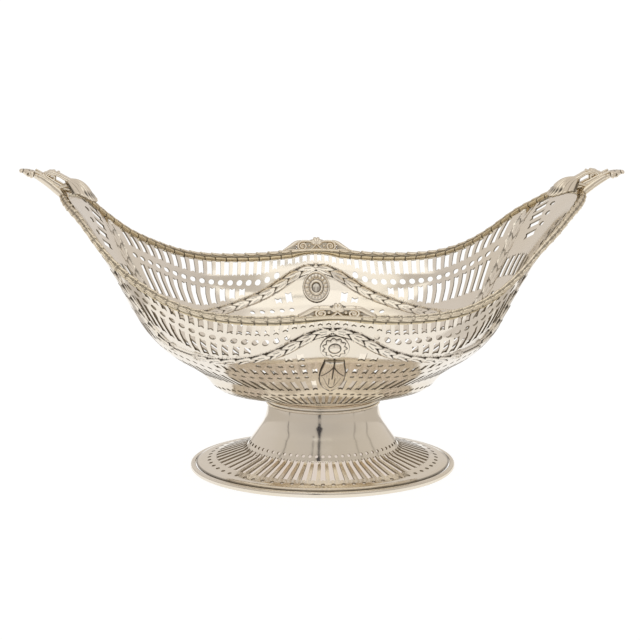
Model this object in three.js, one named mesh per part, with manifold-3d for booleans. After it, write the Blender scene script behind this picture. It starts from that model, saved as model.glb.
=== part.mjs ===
// A boat-shaped silver bread basket: a raised and pierced bowl on an oval pierced foot.
// Millimetres, +Z up, +X towards one handle and +Y towards one long side.
// The origin is the middle of the foot's underside.

import * as THREE from 'three';
import * as BufferGeometryUtils from 'three/addons/utils/BufferGeometryUtils.js';
import Module from 'manifold-3d';

// Sheet and seams
const bowlSheet = 1.0;
const footSheet = 1.1;
const seam = 0.3;

// Foot
const footHalfLength = 78.6;
const footNarrowing = 0.792;
const footWireWidth = 3.0;
const footWireHeight = 3.4;
const stemHeight = 39;
const stemHalfLength = 32.6;
const skirtHalfLength = 48.5;
const skirtRise = 11.8;
const footSlots = 42;
const footSlotMargin = 8.6;
const flangeRise = 2;

// Ring that joins stem and bowl
const ringHeight = 3.4;
const ringStand = 1.2;
const ringWidth = 3.2;

// Bowl
const baseHalfLength = 31.5;
const baseHalfWidth = 25;
const rimHalfLength = 150;
const rimHalfWidth = 88.5;
const rimLow = 108.5;
const rimCrown = 3;
const rimCrownSpread = 26;
const lipStart = 91;
const lipSoftness = 14;
const lipSlope = 0.92;
const planSharpness = 2.2;
const planBluntness = 0.5;
const bowlSlots = 44;

// Swags and paterae, chased in the bowl's sheet
const swagHigh = 0.875;
const swagLow = 0.52;
const swagFoot = 0.09;
const swagRiser = 0.066;
const swagRiserWidth = 0.028;
const swagHalfWidth = 0.026;
const swagRelief = 1.8;
const pateraHeight = 0.735;
const pateraHalfWidth = 8.5;
const pateraRelief = 2;
const pateraMargin = 3;

// Cast laurel border along the rim
const borderRadius = 1.7;
const borderLeaves = 18;
const leafDip = 0.78;

// Crests at the middle of each long side
const crestHalfWidth = 14.5;
const crestHeight = 10;
const crestThickness = 2.6;
const crestLean = 34;

// Handles
const handleReach = 25;
const handleRise = 16.4;
const armInset = 3;
const armHeight = 4.8;
const forkDepth = 2.2;
const strapHalfWidth = 5.2;
const strapThickness = 3.6;
const scrollHalfWidth = 2.6;
const shellRadius = 19;
const shellSpread = 62;
const shellSlope = 15;
const shellLobes = 5;
const shellThickness = 2;

const up = new THREE.Vector3(0, 0, 1);
const bowlBase = stemHeight + seam + ringHeight + seam;

// Surfaces of the bowl

function rimHeightAt(x) {
  const past = (Math.abs(x) - lipStart) / lipSoftness;
  const lip = lipSlope * lipSoftness * Math.log1p(Math.exp(past));
  return rimLow + lip + rimCrown * Math.exp(-((x / rimCrownSpread) ** 2));
}

function rimPoint(angle) {
  const reach = Math.abs(Math.cos(angle));
  const spread = (1 - reach ** planSharpness) ** planBluntness;
  const x = rimHalfLength * Math.cos(angle);
  return new THREE.Vector3(x, rimHalfWidth * spread * Math.sign(Math.sin(angle)), rimHeightAt(x));
}

function basePoint(angle) {
  return new THREE.Vector3(baseHalfLength * Math.cos(angle), baseHalfWidth * Math.sin(angle), bowlBase);
}

// A section from base to rim: shares of the way out and of the way up, on a smooth curve.
function section(shares, out, rise) {
  const curve = new THREE.SplineCurve(shares.map(([a, b]) => new THREE.Vector2(a * out, b * rise)));
  return (climb) => curve.getPointAt(climb).divide(new THREE.Vector2(out, rise));
}

const endSection = section(
  [[0, 0], [0.114, 0.004], [0.207, 0.027], [0.274, 0.065], [0.321, 0.117], [0.367, 0.158],
    [0.494, 0.236], [0.608, 0.35], [0.696, 0.5], [0.772, 0.658], [0.899, 0.867], [1, 1]],
  rimHalfLength - baseHalfLength,
  rimHeightAt(rimHalfLength) - bowlBase,
);
const sideSection = section(
  [[0, 0], [0.213, 0.169], [0.409, 0.321], [0.658, 0.52], [0.748, 0.593], [0.819, 0.667],
    [0.863, 0.757], [0.898, 0.871], [1, 1]],
  rimHalfWidth - baseHalfWidth,
  rimHeightAt(0) - bowlBase,
);

function bowlPoint(angle, climb) {
  const share = sideSection(climb).lerp(endSection(climb), Math.cos(angle) ** 2);
  const base = basePoint(angle);
  const rim = rimPoint(angle);
  const point = base.clone().lerp(rim, share.x);
  point.z = base.z + share.y * (rim.z - base.z);
  return point;
}

// Angles that cut a stretch of a curve into equal lengths, both ends included.
function evenStops(curve, from, to, steps) {
  const samples = 2880;
  const angleAt = (i) => THREE.MathUtils.lerp(from, to, i / samples);
  const lengths = [0];
  for (let i = 1; i <= samples; i += 1) {
    lengths.push(lengths[i - 1] + curve(angleAt(i)).distanceTo(curve(angleAt(i - 1))));
  }
  const stops = [];
  let at = 0;
  for (let k = 0; k <= steps; k += 1) {
    const target = (k / steps) * lengths[samples];
    while (at < samples - 1 && lengths[at + 1] < target) at += 1;
    const part = (target - lengths[at]) / (lengths[at + 1] - lengths[at]);
    stops.push(angleAt(at + part));
  }
  return stops;
}

// Angles that cut a closed curve into equal lengths, the first half a step past angle 0.
function evenAngles(curve, count) {
  return evenStops(curve, 0, 2 * Math.PI, 2 * count).filter((_, k) => k % 2 === 1);
}

// A place along the wall as a share of its whole length from the nearest end: 0 at an end, a quarter at a side.
function shareFromEnd(share) {
  return Math.min(share % 0.5, 0.5 - (share % 0.5));
}

// How far up the wall the swag hangs: it sinks from the patera to its foot, then climbs steeply beside the end.
function swagClimb(share) {
  const fromEnd = shareFromEnd(share);
  const fall = Math.max(0, (fromEnd - swagFoot) / (0.25 - swagFoot));
  const climb = THREE.MathUtils.smoothstep(swagRiser + swagRiserWidth / 2 - fromEnd, 0, swagRiserWidth);
  return swagLow + (swagHigh - swagLow) * Math.max(fall ** 1.5, climb);
}

// Pierced sheet metal: rows of points on the outer face, with some cells cut out.

function gridNormal(rows, row, column) {
  const count = rows[row].length;
  const below = rows[Math.max(row - 1, 0)][column];
  const above = rows[Math.min(row + 1, rows.length - 1)][column];
  const before = rows[row][(column + count - 1) % count];
  const after = rows[row][(column + 1) % count];
  return after.clone().sub(before).cross(above.clone().sub(below)).normalize();
}

function sheetMetal(rows, thickness, isHole, floor) {
  const count = rows[0].length;
  const top = rows.length - 1;
  const outer = rows.flat();
  const inner = rows.flatMap((line, row) => line.map((point, column) => (
    point.clone().addScaledVector(gridNormal(rows, row, column), -thickness)
  )));
  const points = [...outer, ...inner];
  const faces = [];
  const out = (column, row) => row * count + (column % count);
  const into = (column, row) => outer.length + out(column, row);
  const quad = (a, b, c, d) => faces.push(a, b, c, a, c, d);
  for (let i = 0; i < count; i += 1) {
    for (let j = 0; j < top; j += 1) {
      const corners = [[i, j], [i + 1, j], [i + 1, j + 1], [i, j + 1]];
      if (isHole(i, j)) {
        corners.forEach((from, k) => {
          const to = corners[(k + 1) % 4];
          quad(out(...from), out(...to), into(...to), into(...from));
        });
      } else {
        const [a, b, c, d] = corners;
        quad(out(...a), out(...b), out(...c), out(...d));
        faces.push(into(...a), into(...c), into(...b), into(...a), into(...d), into(...c));
      }
    }
    quad(out(i, top), out(i + 1, top), into(i + 1, top), into(i, top));
    if (!floor) quad(out(i + 1, 0), out(i, 0), into(i, 0), into(i + 1, 0));
  }
  if (floor) {
    const middle = points.push(floor.clone(), floor.clone().addScaledVector(up, thickness)) - 2;
    for (let i = 0; i < count; i += 1) {
      faces.push(out(i + 1, 0), out(i, 0), middle);
      faces.push(into(i, 0), into(i + 1, 0), middle + 1);
    }
  }
  const geometry = new THREE.BufferGeometry().setFromPoints(points);
  geometry.setIndex(faces);
  return geometry;
}

// Bowl

// Rows of piercing as shares of the climb: [foot of the row, head of the row].
const baseSlots = [0.065, 0.165];
const bellySlots = [0.26, 0.385];
const archSlots = [0.65, 0.735];
const longSlots = [0.66, 0.78];
const dotHoles = [0.8, 0.845];
const rimSlots = [0.87, 0.985];
const bellyLine = 0.52;

// Rows that the swag pushes together stay this far apart, and a slot under this height is left out.
const squeeze = 0.007;
const leastSlot = 4 * squeeze;

// Where the swag climbs by more than this from one column to the next, the wall is left whole.
const steepest = 0.08;

function bowlRows(swag) {
  const below = [0, ...baseSlots, ...bellySlots, bellyLine, ...archSlots];
  const above = [...longSlots, ...dotHoles, ...rimSlots, 1];
  const underSwag = below.map((climb, k) => (
    Math.min(climb, swag - swagHalfWidth - squeeze * (below.length - k))
  ));
  const overSwag = above.map((climb, k) => Math.max(climb, swag + swagHalfWidth + squeeze * (k + 1)));
  return [...underSwag, swag - swagHalfWidth, swag, swag + swagHalfWidth, ...overSwag];
}

function pateraSwell(point, climb) {
  const across = point.x / pateraHalfWidth;
  const along = ((climb - pateraHeight) * (rimHeightAt(0) - bowlBase)) / pateraHalfWidth;
  return pateraRelief * Math.max(0, 1 - across ** 2 - along ** 2);
}

function makeBowl() {
  const columns = 2 * bowlSlots;
  const rimAngles = evenAngles(rimPoint, columns);
  const baseAngles = evenAngles(basePoint, columns);
  const angleAt = (column, climb) => THREE.MathUtils.lerp(baseAngles[column], rimAngles[column], climb);
  const swag = rimAngles.map((_, column) => swagClimb((column + 0.5) / columns));
  const climbs = swag.map(bowlRows);
  const swagRow = 2 + baseSlots.length + bellySlots.length + archSlots.length + 1;
  const rowCount = climbs[0].length;
  const rows = [];
  for (let row = 0; row < rowCount; row += 1) {
    rows.push(climbs.map((climb, column) => bowlPoint(angleAt(column, climb[row]), climb[row])));
  }
  const swollen = rows.map((line, row) => line.map((point, column) => {
    const hangs = shareFromEnd((column + 0.5) / columns) > swagRiser - swagRiserWidth;
    const relief = row === swagRow && hangs ? swagRelief : pateraSwell(point, climbs[column][row]);
    return point.clone().addScaledVector(gridNormal(rows, row, column), relief);
  }));
  const pierced = [1, 3, 6, 11, 13, 15];
  const isHole = (column, row) => {
    if (column % 2 === 0 || !pierced.includes(row)) return false;
    const next = (column + 1) % columns;
    if (Math.abs(swag[next] - swag[column]) > steepest) return false;
    const height = Math.min(
      climbs[column][row + 1] - climbs[column][row],
      climbs[next][row + 1] - climbs[next][row],
    );
    const middle = (rows[row][column].x + rows[row][next].x) / 2;
    const underPatera = row > 1 && row < swagRow && Math.abs(middle) < pateraHalfWidth + pateraMargin;
    return height > leastSlot && !underPatera;
  };
  return sheetMetal(swollen, bowlSheet, isHole, up.clone().multiplyScalar(bowlBase));
}

// Foot

// From the wire inwards: a plain flange, the pierced gallery, then the stem.
const flangeEdge = footHalfLength - footWireWidth - seam;
const stemShares = [[1, 0], [0.818, 0.048], [0.68, 0.17], [0.38, 0.42], [0.126, 0.665], [0, 1]];
const footProfile = [
  [flangeEdge, footWireHeight + seam],
  [flangeEdge - footSlotMargin / 3, footWireHeight + seam + flangeRise / 2],
  [flangeEdge - footSlotMargin, footWireHeight + seam + flangeRise],
  ...stemShares.map(([out, rise]) => [
    THREE.MathUtils.lerp(stemHalfLength, skirtHalfLength, out),
    THREE.MathUtils.lerp(skirtRise, stemHeight, rise),
  ]),
];

function ovalPoint(angle, halfLength, height) {
  return new THREE.Vector3(halfLength * Math.cos(angle), footNarrowing * halfLength * Math.sin(angle), height);
}

function makeFoot() {
  const columns = 2 * footSlots;
  const angles = evenAngles((angle) => ovalPoint(angle, footHalfLength, 0), columns);
  const rows = footProfile.map(([halfLength, height]) => (
    angles.map((angle) => ovalPoint(angle, halfLength, height))
  ));
  return sheetMetal(rows, footSheet, (column, row) => row === 2 && column % 2 === 1);
}

// An oval ring: a closed section in length and height, turned about Z and narrowed.
function ovalRing(sectionPoints, segments) {
  const closed = [...sectionPoints, sectionPoints[0]].map(([length, height]) => (
    new THREE.Vector2(length, height)
  ));
  const ring = new THREE.LatheGeometry(closed, segments);
  return ring.rotateX(Math.PI / 2).scale(1, footNarrowing, 1);
}

function makeFootWire() {
  const outer = footHalfLength;
  const inner = footHalfLength - footWireWidth;
  return ovalRing([
    [inner, 0], [outer - 0.7, 0], [outer, 0.9], [outer, footWireHeight - 1.2],
    [outer - 0.9, footWireHeight], [inner + 0.9, footWireHeight], [inner, footWireHeight - 0.9],
  ], 60);
}

function makeStemRing() {
  const low = stemHeight + seam;
  const high = low + ringHeight;
  const outer = stemHalfLength + ringStand;
  const inner = outer - ringWidth;
  return ovalRing([
    [inner, low], [outer - 0.8, low], [outer, low + 0.7], [outer - 0.7, low + 1.5],
    [outer - 1.1, low + 2], [outer - 0.6, high - 0.7], [outer - 1.1, high], [inner, high],
  ], 40);
}

// Rim: where the sheet's edge lies, which way it climbs and which way it faces.

function rimFrame(angle) {
  const step = 0.004;
  const edge = bowlPoint(angle, 1);
  const climb = edge.clone().sub(bowlPoint(angle, 1 - step)).normalize();
  const along = bowlPoint(angle + step, 1).sub(bowlPoint(angle - step, 1)).normalize();
  const facing = along.clone().cross(climb).normalize();
  return { middle: edge.addScaledVector(facing, -bowlSheet / 2), climb, facing };
}

function rimAngle(x) {
  return Math.acos(THREE.MathUtils.clamp(x / rimHalfLength, -1, 1));
}

// A closed skin over rings of points that follow each other, with flat ends.
function loft(rings) {
  const count = rings[0].length;
  const last = (rings.length - 1) * count;
  const faces = [];
  for (let ring = 0; ring < last; ring += count) {
    for (let i = 0; i < count; i += 1) {
      const a = ring + i;
      const b = ring + ((i + 1) % count);
      faces.push(a, b + count, b, a, a + count, b + count);
    }
  }
  for (let i = 1; i < count - 1; i += 1) {
    faces.push(0, i, i + 1, last, last + i + 1, last + i);
  }
  const geometry = new THREE.BufferGeometry().setFromPoints(rings.flat());
  geometry.setIndex(faces);
  return geometry;
}

// A moulding along the rim: sectionAt gives its outline as [outwards, up the wall] at each stop.
function rimMoulding(from, to, steps, sectionAt) {
  return loft(evenStops(rimPoint, from, to, steps).map((angle, k) => {
    const { middle, climb, facing } = rimFrame(angle);
    return sectionAt(k).map(([out, rise]) => (
      middle.clone().addScaledVector(facing, out).addScaledVector(climb, rise)
    ));
  }));
}

const borderFrom = rimAngle(rimHalfLength - armInset);
const borderTo = rimAngle(crestHalfWidth + seam);

// Laurel border: a round wire that is pinched between its leaves.
function makeBorder(from, to) {
  const sides = 6;
  return rimMoulding(from, to, 2 * borderLeaves, (k) => {
    const radius = k % 2 === 0 ? borderRadius * leafDip : borderRadius;
    return Array.from({ length: sides }, (_, i) => {
      const turn = (i / sides) * 2 * Math.PI;
      return [radius * Math.cos(turn), seam + borderRadius + radius * Math.sin(turn)];
    });
  });
}

// Crest: a shell between two volutes, cut from a plate that stands on the rim and leans out.
function makeCrest() {
  const volute = crestHeight * 0.36;
  const centre = crestHalfWidth - volute;
  const shell = crestHeight * 0.4;
  const outline = new THREE.Shape();
  outline.moveTo(-crestHalfWidth + volute, 0);
  outline.lineTo(crestHalfWidth - volute, 0);
  outline.absarc(centre, volute, volute, -Math.PI / 2, Math.PI * 0.75);
  outline.absarc(0, crestHeight - shell, shell, Math.PI * 0.05, Math.PI * 0.95);
  outline.absarc(-centre, volute, volute, Math.PI * 0.25, Math.PI * 1.5);
  [-centre, centre].forEach((x) => {
    const eye = new THREE.Path();
    eye.absarc(x, volute, volute * 0.36, 0, 2 * Math.PI, true);
    outline.holes.push(eye);
  });
  const plate = new THREE.ExtrudeGeometry(outline, {
    depth: crestThickness, curveSegments: 4, bevelEnabled: false,
  });
  const lean = THREE.MathUtils.degToRad(crestLean);
  plate.translate(0, 0, -crestThickness / 2).rotateX(Math.PI / 2 - lean);
  const foot = rimFrame(Math.PI / 2).middle;
  return plate.translate(0, foot.y, foot.z + seam + (crestThickness / 2) * Math.sin(lean));
}

// Solids that are joined or cut

const wasm = await Module();
wasm.setup();

function solid(geometry) {
  const bare = new THREE.BufferGeometry();
  bare.setAttribute('position', geometry.getAttribute('position'));
  bare.setIndex(geometry.getIndex());
  const merged = BufferGeometryUtils.mergeVertices(bare, 1e-4);
  return new wasm.Manifold(new wasm.Mesh({
    numProp: 3,
    vertProperties: merged.getAttribute('position').array,
    triVerts: Uint32Array.from(merged.getIndex().array),
  }));
}

function surface(joined) {
  const { vertProperties, triVerts } = joined.getMesh();
  const geometry = new THREE.BufferGeometry();
  geometry.setAttribute('position', new THREE.BufferAttribute(vertProperties, 3));
  geometry.setIndex(new THREE.BufferAttribute(triVerts, 1));
  return geometry;
}

// Handle at the +X end, in millimetres out from the lip and up from it.

const lip = rimPoint(0);

function sidePlate(outline, halfWidth) {
  const plate = new THREE.ExtrudeGeometry(outline, { depth: 2 * halfWidth, curveSegments: 2, bevelEnabled: false });
  return solid(plate.rotateX(Math.PI / 2).translate(lip.x, halfWidth, lip.z));
}

function smoothOutline(...runs) {
  const outline = new THREE.Shape();
  outline.moveTo(...runs[0][0]);
  runs.forEach((run, k) => {
    const points = run.slice(k === 0 ? 1 : 0).map(([x, z]) => new THREE.Vector2(x, z));
    outline.splineThru(points);
  });
  return outline;
}

// The strap sweeps up and out from the arms to a leaf tip.
function makeStrap() {
  const tip = handleReach - 1.5;
  const side = smoothOutline(
    [[-3, 1.6], [0.5, 1.4], [handleReach * 0.32, handleRise * 0.34], [handleReach * 0.6, handleRise * 0.6],
      [tip, handleRise * 0.88]],
    [[handleReach, handleRise * 0.94], [tip, handleRise]],
    [[handleReach * 0.7, handleRise * 0.97], [handleReach * 0.5, handleRise * 0.82],
      [handleReach * 0.24, handleRise * 0.32 + strapThickness], [-1, 1.5 + strapThickness],
      [-3, 1.6 + strapThickness * 0.7]],
  );
  const fork = rimPoint(rimAngle(lip.x - forkDepth)).y;
  const edge = [[-forkDepth, fork], [0, fork * 0.8], [forkDepth, strapHalfWidth],
    [handleReach * 0.48, strapHalfWidth * 0.8], [handleReach * 0.66, strapHalfWidth * 0.92],
    [handleReach * 0.85, strapHalfWidth * 0.7], [handleReach, strapHalfWidth * 0.3]];
  const plan = smoothOutline(edge, [...edge].reverse().map(([x, y]) => [x, -y]));
  const slab = new THREE.ExtrudeGeometry(plan, {
    depth: 2 * handleRise, curveSegments: 2, bevelEnabled: false,
  });
  slab.translate(lip.x, 0, lip.z);
  return sidePlate(side, 2 * strapHalfWidth).intersect(solid(slab));
}

// The scroll curls from the strap back over the lip, with a lens-shaped opening under its bar.
function makeScroll() {
  const outline = smoothOutline(
    [[-11, handleRise * 0.32], [-6, handleRise * 0.32], [-2, handleRise * 0.27], [4, handleRise * 0.38],
      [10, handleRise * 0.62], [18, handleRise * 0.86]],
    [[17, handleRise * 0.98], [10, handleRise], [5, handleRise * 1.02], [1.5, handleRise * 0.94],
      [0.2, handleRise * 0.78]],
    [[-3.2, handleRise * 0.72], [-7, handleRise * 0.63], [-12, handleRise * 0.5]],
  );
  const lens = new THREE.Path();
  lens.absellipse(-1.4, handleRise * 0.52, 5.2, 1.8, 0, 2 * Math.PI, true, 0.16);
  const eye = new THREE.Path();
  eye.absarc(6.6, handleRise * 0.74, 1.6, 0, 2 * Math.PI, true);
  outline.holes.push(lens, eye);
  return sidePlate(outline, scrollHalfWidth);
}

// A fluted shell that fans down into the bowl from the foot of the scroll.
function makeShell() {
  const slope = THREE.MathUtils.degToRad(shellSlope);
  const spread = THREE.MathUtils.degToRad(shellSpread);
  const away = new THREE.Vector3(-Math.cos(slope), 0, -Math.sin(slope));
  const across = new THREE.Vector3(0, 1, 0);
  const over = new THREE.Vector3(-Math.sin(slope), 0, Math.cos(slope));
  const root = new THREE.Vector3(lip.x - 2, 0, lip.z + handleRise * 0.4);
  const pointAt = (turn, reach, lift) => {
    const lobe = Math.abs(Math.cos((turn / spread) * (shellLobes / 2) * Math.PI));
    const radius = shellRadius * reach * (1 - 0.09 * (1 - lobe));
    const height = lift + reach * (0.9 * lobe - Math.sin(turn) ** 2);
    return root.clone().addScaledVector(away, radius * Math.cos(turn))
      .addScaledVector(across, radius * Math.sin(turn)).addScaledVector(over, height);
  };
  const steps = 4 * shellLobes;
  const reaches = [0.12, 0.5, 0.82, 1];
  const rings = [];
  for (let k = 0; k <= steps; k += 1) {
    const turn = THREE.MathUtils.lerp(-spread, spread, k / steps);
    rings.push([
      ...reaches.map((reach) => pointAt(turn, reach, 0)),
      ...[...reaches].reverse().map((reach) => pointAt(turn, reach, -shellThickness)),
    ]);
  }
  return solid(loft(rings));
}

function makeHandle() {
  const reach = rimAngle(rimHalfLength - armInset + seam);
  const steps = 10;
  const arms = rimMoulding(-reach, reach, steps, (k) => {
    const near = Math.sin((k / steps) * Math.PI);
    const top = seam + THREE.MathUtils.lerp(2 * borderRadius, armHeight, near);
    const half = borderRadius * (1 + 0.15 * near);
    return [[-half * 0.5, seam], [half * 0.5, seam], [half, seam + 1], [half, top - 1.2], [half * 0.4, top],
      [-half * 0.4, top], [-half, top - 1.2], [-half, seam + 1]];
  });
  return surface(solid(arms).add(makeStrap()).add(makeScroll()).add(makeShell()));
}

// Assembly

const silver = (color, roughness) => new THREE.MeshStandardMaterial({ color, roughness, metalness: 1 });
const basket = new THREE.Group();

function addPiece(name, geometry, material, turn = 0) {
  const piece = new THREE.Mesh(geometry, material);
  piece.name = name;
  piece.rotation.z = turn;
  basket.add(piece);
}

addPiece('bowl', makeBowl(), silver(0xd9d2c4, 0.2));
addPiece('foot', makeFoot(), silver(0xd6cfc1, 0.2));
addPiece('foot_rim_wire', makeFootWire(), silver(0xd2c9b6, 0.25));
addPiece('stem_ring', makeStemRing(), silver(0xd2c9b6, 0.25));

// The pieces along the rim are alike on both halves, each half a turn of the other.
[['back', 'right', 'left', 0], ['front', 'left', 'right', Math.PI]].forEach(([side, end, far, turn]) => {
  const castSilver = () => silver(0xcfc4ab, 0.3);
  addPiece(`border_${side}_${end}`, makeBorder(borderFrom, borderTo), castSilver(), turn);
  addPiece(`border_${side}_${far}`, makeBorder(Math.PI - borderTo, Math.PI - borderFrom), castSilver(), turn);
  addPiece(`crest_${side}`, makeCrest(), castSilver(), turn);
  addPiece(`handle_${end}`, makeHandle(), castSilver(), turn);
});

export default basket;
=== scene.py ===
"""A boat-shaped silver bread basket: pierced bowl, laurel border, cast handles and pierced oval foot."""

import math

import bpy
import numpy as np
from mathutils import Matrix, Vector
from mathutils.geometry import delaunay_2d_cdt


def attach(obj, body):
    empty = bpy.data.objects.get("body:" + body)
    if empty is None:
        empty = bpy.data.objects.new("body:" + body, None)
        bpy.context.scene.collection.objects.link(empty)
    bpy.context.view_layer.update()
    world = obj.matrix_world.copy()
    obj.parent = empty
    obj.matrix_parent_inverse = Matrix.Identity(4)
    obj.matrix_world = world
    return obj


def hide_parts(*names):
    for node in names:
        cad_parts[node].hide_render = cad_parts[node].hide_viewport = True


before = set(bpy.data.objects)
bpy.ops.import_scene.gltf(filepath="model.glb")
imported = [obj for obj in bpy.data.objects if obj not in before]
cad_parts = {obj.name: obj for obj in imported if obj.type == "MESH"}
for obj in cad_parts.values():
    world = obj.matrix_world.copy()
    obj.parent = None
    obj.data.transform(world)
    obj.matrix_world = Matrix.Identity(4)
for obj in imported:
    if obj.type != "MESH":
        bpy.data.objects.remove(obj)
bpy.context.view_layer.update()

# Lengths are millimetres here, and meshes are scaled to metres as they are made. A share is a part of the way
# round, from the right handle, and a climb is a part of the way up the bowl's wall, from its base to its rim.
MM = 0.001
TURN = 2 * math.pi
QUARTER = 0.25


# Lines and small patterns


def unit(vectors):
    return vectors / np.maximum(np.linalg.norm(vectors, axis=-1, keepdims=True), 1e-12)


def lengths_along(points):
    """The length of a line from its first point to each of its points."""
    return np.concatenate([[0], np.cumsum(np.linalg.norm(np.diff(points, axis=0), axis=1))])


def smooth_through(values, place, still_ends=False):
    """Catmull-Rom values at fractional places along a list."""
    before = values[0] if still_ends else 2 * values[0] - values[1]
    after = values[-1] if still_ends else 2 * values[-1] - values[-2]
    padded = np.concatenate([[before], values, [after]])
    start = np.clip(np.floor(place).astype(int), 0, len(values) - 2)
    w = place - start
    a, b, c, d = (padded[start + k] for k in range(4))
    return b + 0.5 * w * (c - a + w * (2 * a - 5 * b + 4 * c - d + w * (3 * (b - c) + d - a)))


def spline(knots, count, still_ends=False):
    """Points of a smooth line through its knots."""
    knots = np.array(knots, float)
    place = np.linspace(0, len(knots) - 1, count)
    return np.stack([smooth_through(column, place, still_ends) for column in knots.T], -1)


def spiral(centre, start, turns, outer, inner, count):
    """Points of a volute in a plane, from its outer end inwards. Angles are in turns."""
    w = np.linspace(0, 1, count)
    angle = TURN * (start + turns * w)
    radius = outer + (inner - outer) * w**0.85
    return np.stack([centre[0] + radius * np.cos(angle), centre[1] + radius * np.sin(angle)], -1)


def angle_table(curve, count):
    """Shares of a closed curve's length, and the angles that they belong to."""
    angles = np.linspace(0, TURN, count)
    lengths = lengths_along(curve(angles))
    return lengths / lengths[-1], angles


def even_turns(sides):
    """Angles of the corners of an outline with this many sides."""
    return (np.arange(sides) + 0.5) * TURN / sides


def bump(values, middle, spread):
    return np.exp(-(((values - middle) / spread) ** 2))


def ridge(values, middle, half):
    """Height 0 to 1 of a rounded ridge."""
    return np.clip(1 - ((values - middle) / half) ** 2, 0, 1)


def dome(share):
    """Height of a half circle, from 1 at its middle to 0 at its foot."""
    return np.sqrt(ridge(share, 0, 1))


def stroke(gap, width, start=1.0, most=1.0):
    """Ink of a chased line at a distance from it."""
    return np.clip(start - np.abs(gap) / width, 0, most)


# Bowl surface: the same formulas as the solid's

RIM_X = 150.0
RIM_Y = 88.5
BASE_X = 31.5
BASE_Y = 25.0
BASE_Z = 43.0
RIM_LOW = 108.5
CROWN = 3.0
CROWN_SPREAD = 26.0
LIP_START = 91.0
LIP_SOFT = 14.0
LIP_SLOPE = 0.92
PLAN_POWER = 2.2
SHEET = 1.0
SEAM = 0.3
END_SHARES = [
    (0, 0), (0.114, 0.004), (0.207, 0.027), (0.274, 0.065), (0.321, 0.117), (0.367, 0.158),
    (0.494, 0.236), (0.608, 0.35), (0.696, 0.5), (0.772, 0.658), (0.899, 0.867), (1, 1),
]
SIDE_SHARES = [
    (0, 0), (0.213, 0.169), (0.409, 0.321), (0.658, 0.52), (0.748, 0.593), (0.819, 0.667),
    (0.863, 0.757), (0.898, 0.871), (1, 1),
]


def rim_height(x):
    past = (np.abs(x) - LIP_START) / LIP_SOFT
    return RIM_LOW + LIP_SLOPE * LIP_SOFT * np.log1p(np.exp(past)) + CROWN * bump(x, 0, CROWN_SPREAD)


def rim_at(angle):
    reach = np.cos(angle)
    x = RIM_X * reach
    y = RIM_Y * np.sqrt(np.clip(1 - np.abs(reach) ** PLAN_POWER, 0, None)) * np.sign(np.sin(angle))
    return np.stack([x, y, rim_height(x)], -1)


def base_at(angle):
    return np.stack([BASE_X * np.cos(angle), BASE_Y * np.sin(angle), np.full(np.shape(angle), BASE_Z)], -1)


def section_table(shares, out, rise):
    """Lengths along a smooth section from base to rim, and the shares of the way out and up there."""
    points = spline(np.array(shares) * (out, rise), 40 * (len(shares) - 1) + 1, True)
    lengths = lengths_along(points)
    return lengths / lengths[-1], points / (out, rise)


END_TABLE = section_table(END_SHARES, RIM_X - BASE_X, float(rim_height(RIM_X)) - BASE_Z)
SIDE_TABLE = section_table(SIDE_SHARES, RIM_Y - BASE_Y, float(rim_height(0.0)) - BASE_Z)
RIM_ANGLES = angle_table(rim_at, 5761)
BASE_ANGLES = angle_table(base_at, 5761)


def shares_at(table, climb):
    lengths, shares = table
    return np.stack([np.interp(climb, lengths, shares[:, 0]), np.interp(climb, lengths, shares[:, 1])], -1)


def bowl_at(share, climb):
    """The bowl's outer face."""
    share, climb = np.broadcast_arrays(np.asarray(share, float), np.asarray(climb, float))
    within = share - np.floor(share)
    angle = np.interp(within, *RIM_ANGLES) * climb + np.interp(within, *BASE_ANGLES) * (1 - climb)
    toward_end = (np.cos(angle) ** 2)[..., None]
    out_and_up = shares_at(SIDE_TABLE, climb) * (1 - toward_end) + shares_at(END_TABLE, climb) * toward_end
    base = base_at(angle)
    rim = rim_at(angle)
    point = base + out_and_up[..., :1] * (rim - base)
    point[..., 2] = base[..., 2] + out_and_up[..., 1] * (rim[..., 2] - base[..., 2])
    return point


def face_normal(surface, share, climb, step=1e-4, up_step=1e-4, top=1.0):
    """The way a surface faces, from small steps round it and up it."""
    along = surface(share + step, climb) - surface(share - step, climb)
    up = surface(share, np.clip(climb + up_step, 0, top)) - surface(share, np.clip(climb - up_step, 0, top))
    return unit(np.cross(along, up))


# Lengths round the bowl at each climb and up the wall at each share, for sizing what is on it in millimetres
CLIMBS = np.linspace(0, 1, 201)
SHARES = np.linspace(0, QUARTER, 101)
ROUND = np.array([lengths_along(bowl_at(np.linspace(0, 1, 721), climb))[-1] for climb in CLIMBS])
TALL = np.array([lengths_along(bowl_at(share, CLIMBS))[-1] for share in SHARES])


def round_at(climb):
    return np.interp(climb, CLIMBS, ROUND)


def tall_at(share):
    return np.interp(share, SHARES, TALL)


def on_wall(share, climb, x, y):
    """Share and climb of the place that lies x further round and y further up than another."""
    return share + x / round_at(climb), climb + y / tall_at(share)


# Garland: from the patera to the rim beside the end, as share and climb

GARLAND = [
    (0.25, 0.886), (0.24, 0.874), (0.228, 0.835), (0.215, 0.778), (0.2, 0.724), (0.18, 0.672), (0.16, 0.628),
    (0.14, 0.588), (0.12, 0.553), (0.101, 0.528), (0.086, 0.518), (0.074, 0.524), (0.0655, 0.555),
    (0.06, 0.62),
    (0.058, 0.71), (0.0585, 0.8), (0.061, 0.88), (0.064, 0.965),
]
GARLAND_HALF = 3.3
GARLAND_RISE = 1.7
LEAF_LENGTH = 9.6
LEAF_SPLAY = 0.16
LEAF_HALF = 1.95
TIE_SHARE = 0.118
TIE_BEAD = 1.15
CLIMB_SHARE = 0.074
CLIMB_SOFT = 14
BROADER = 0.35
PALER = 0.3

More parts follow.
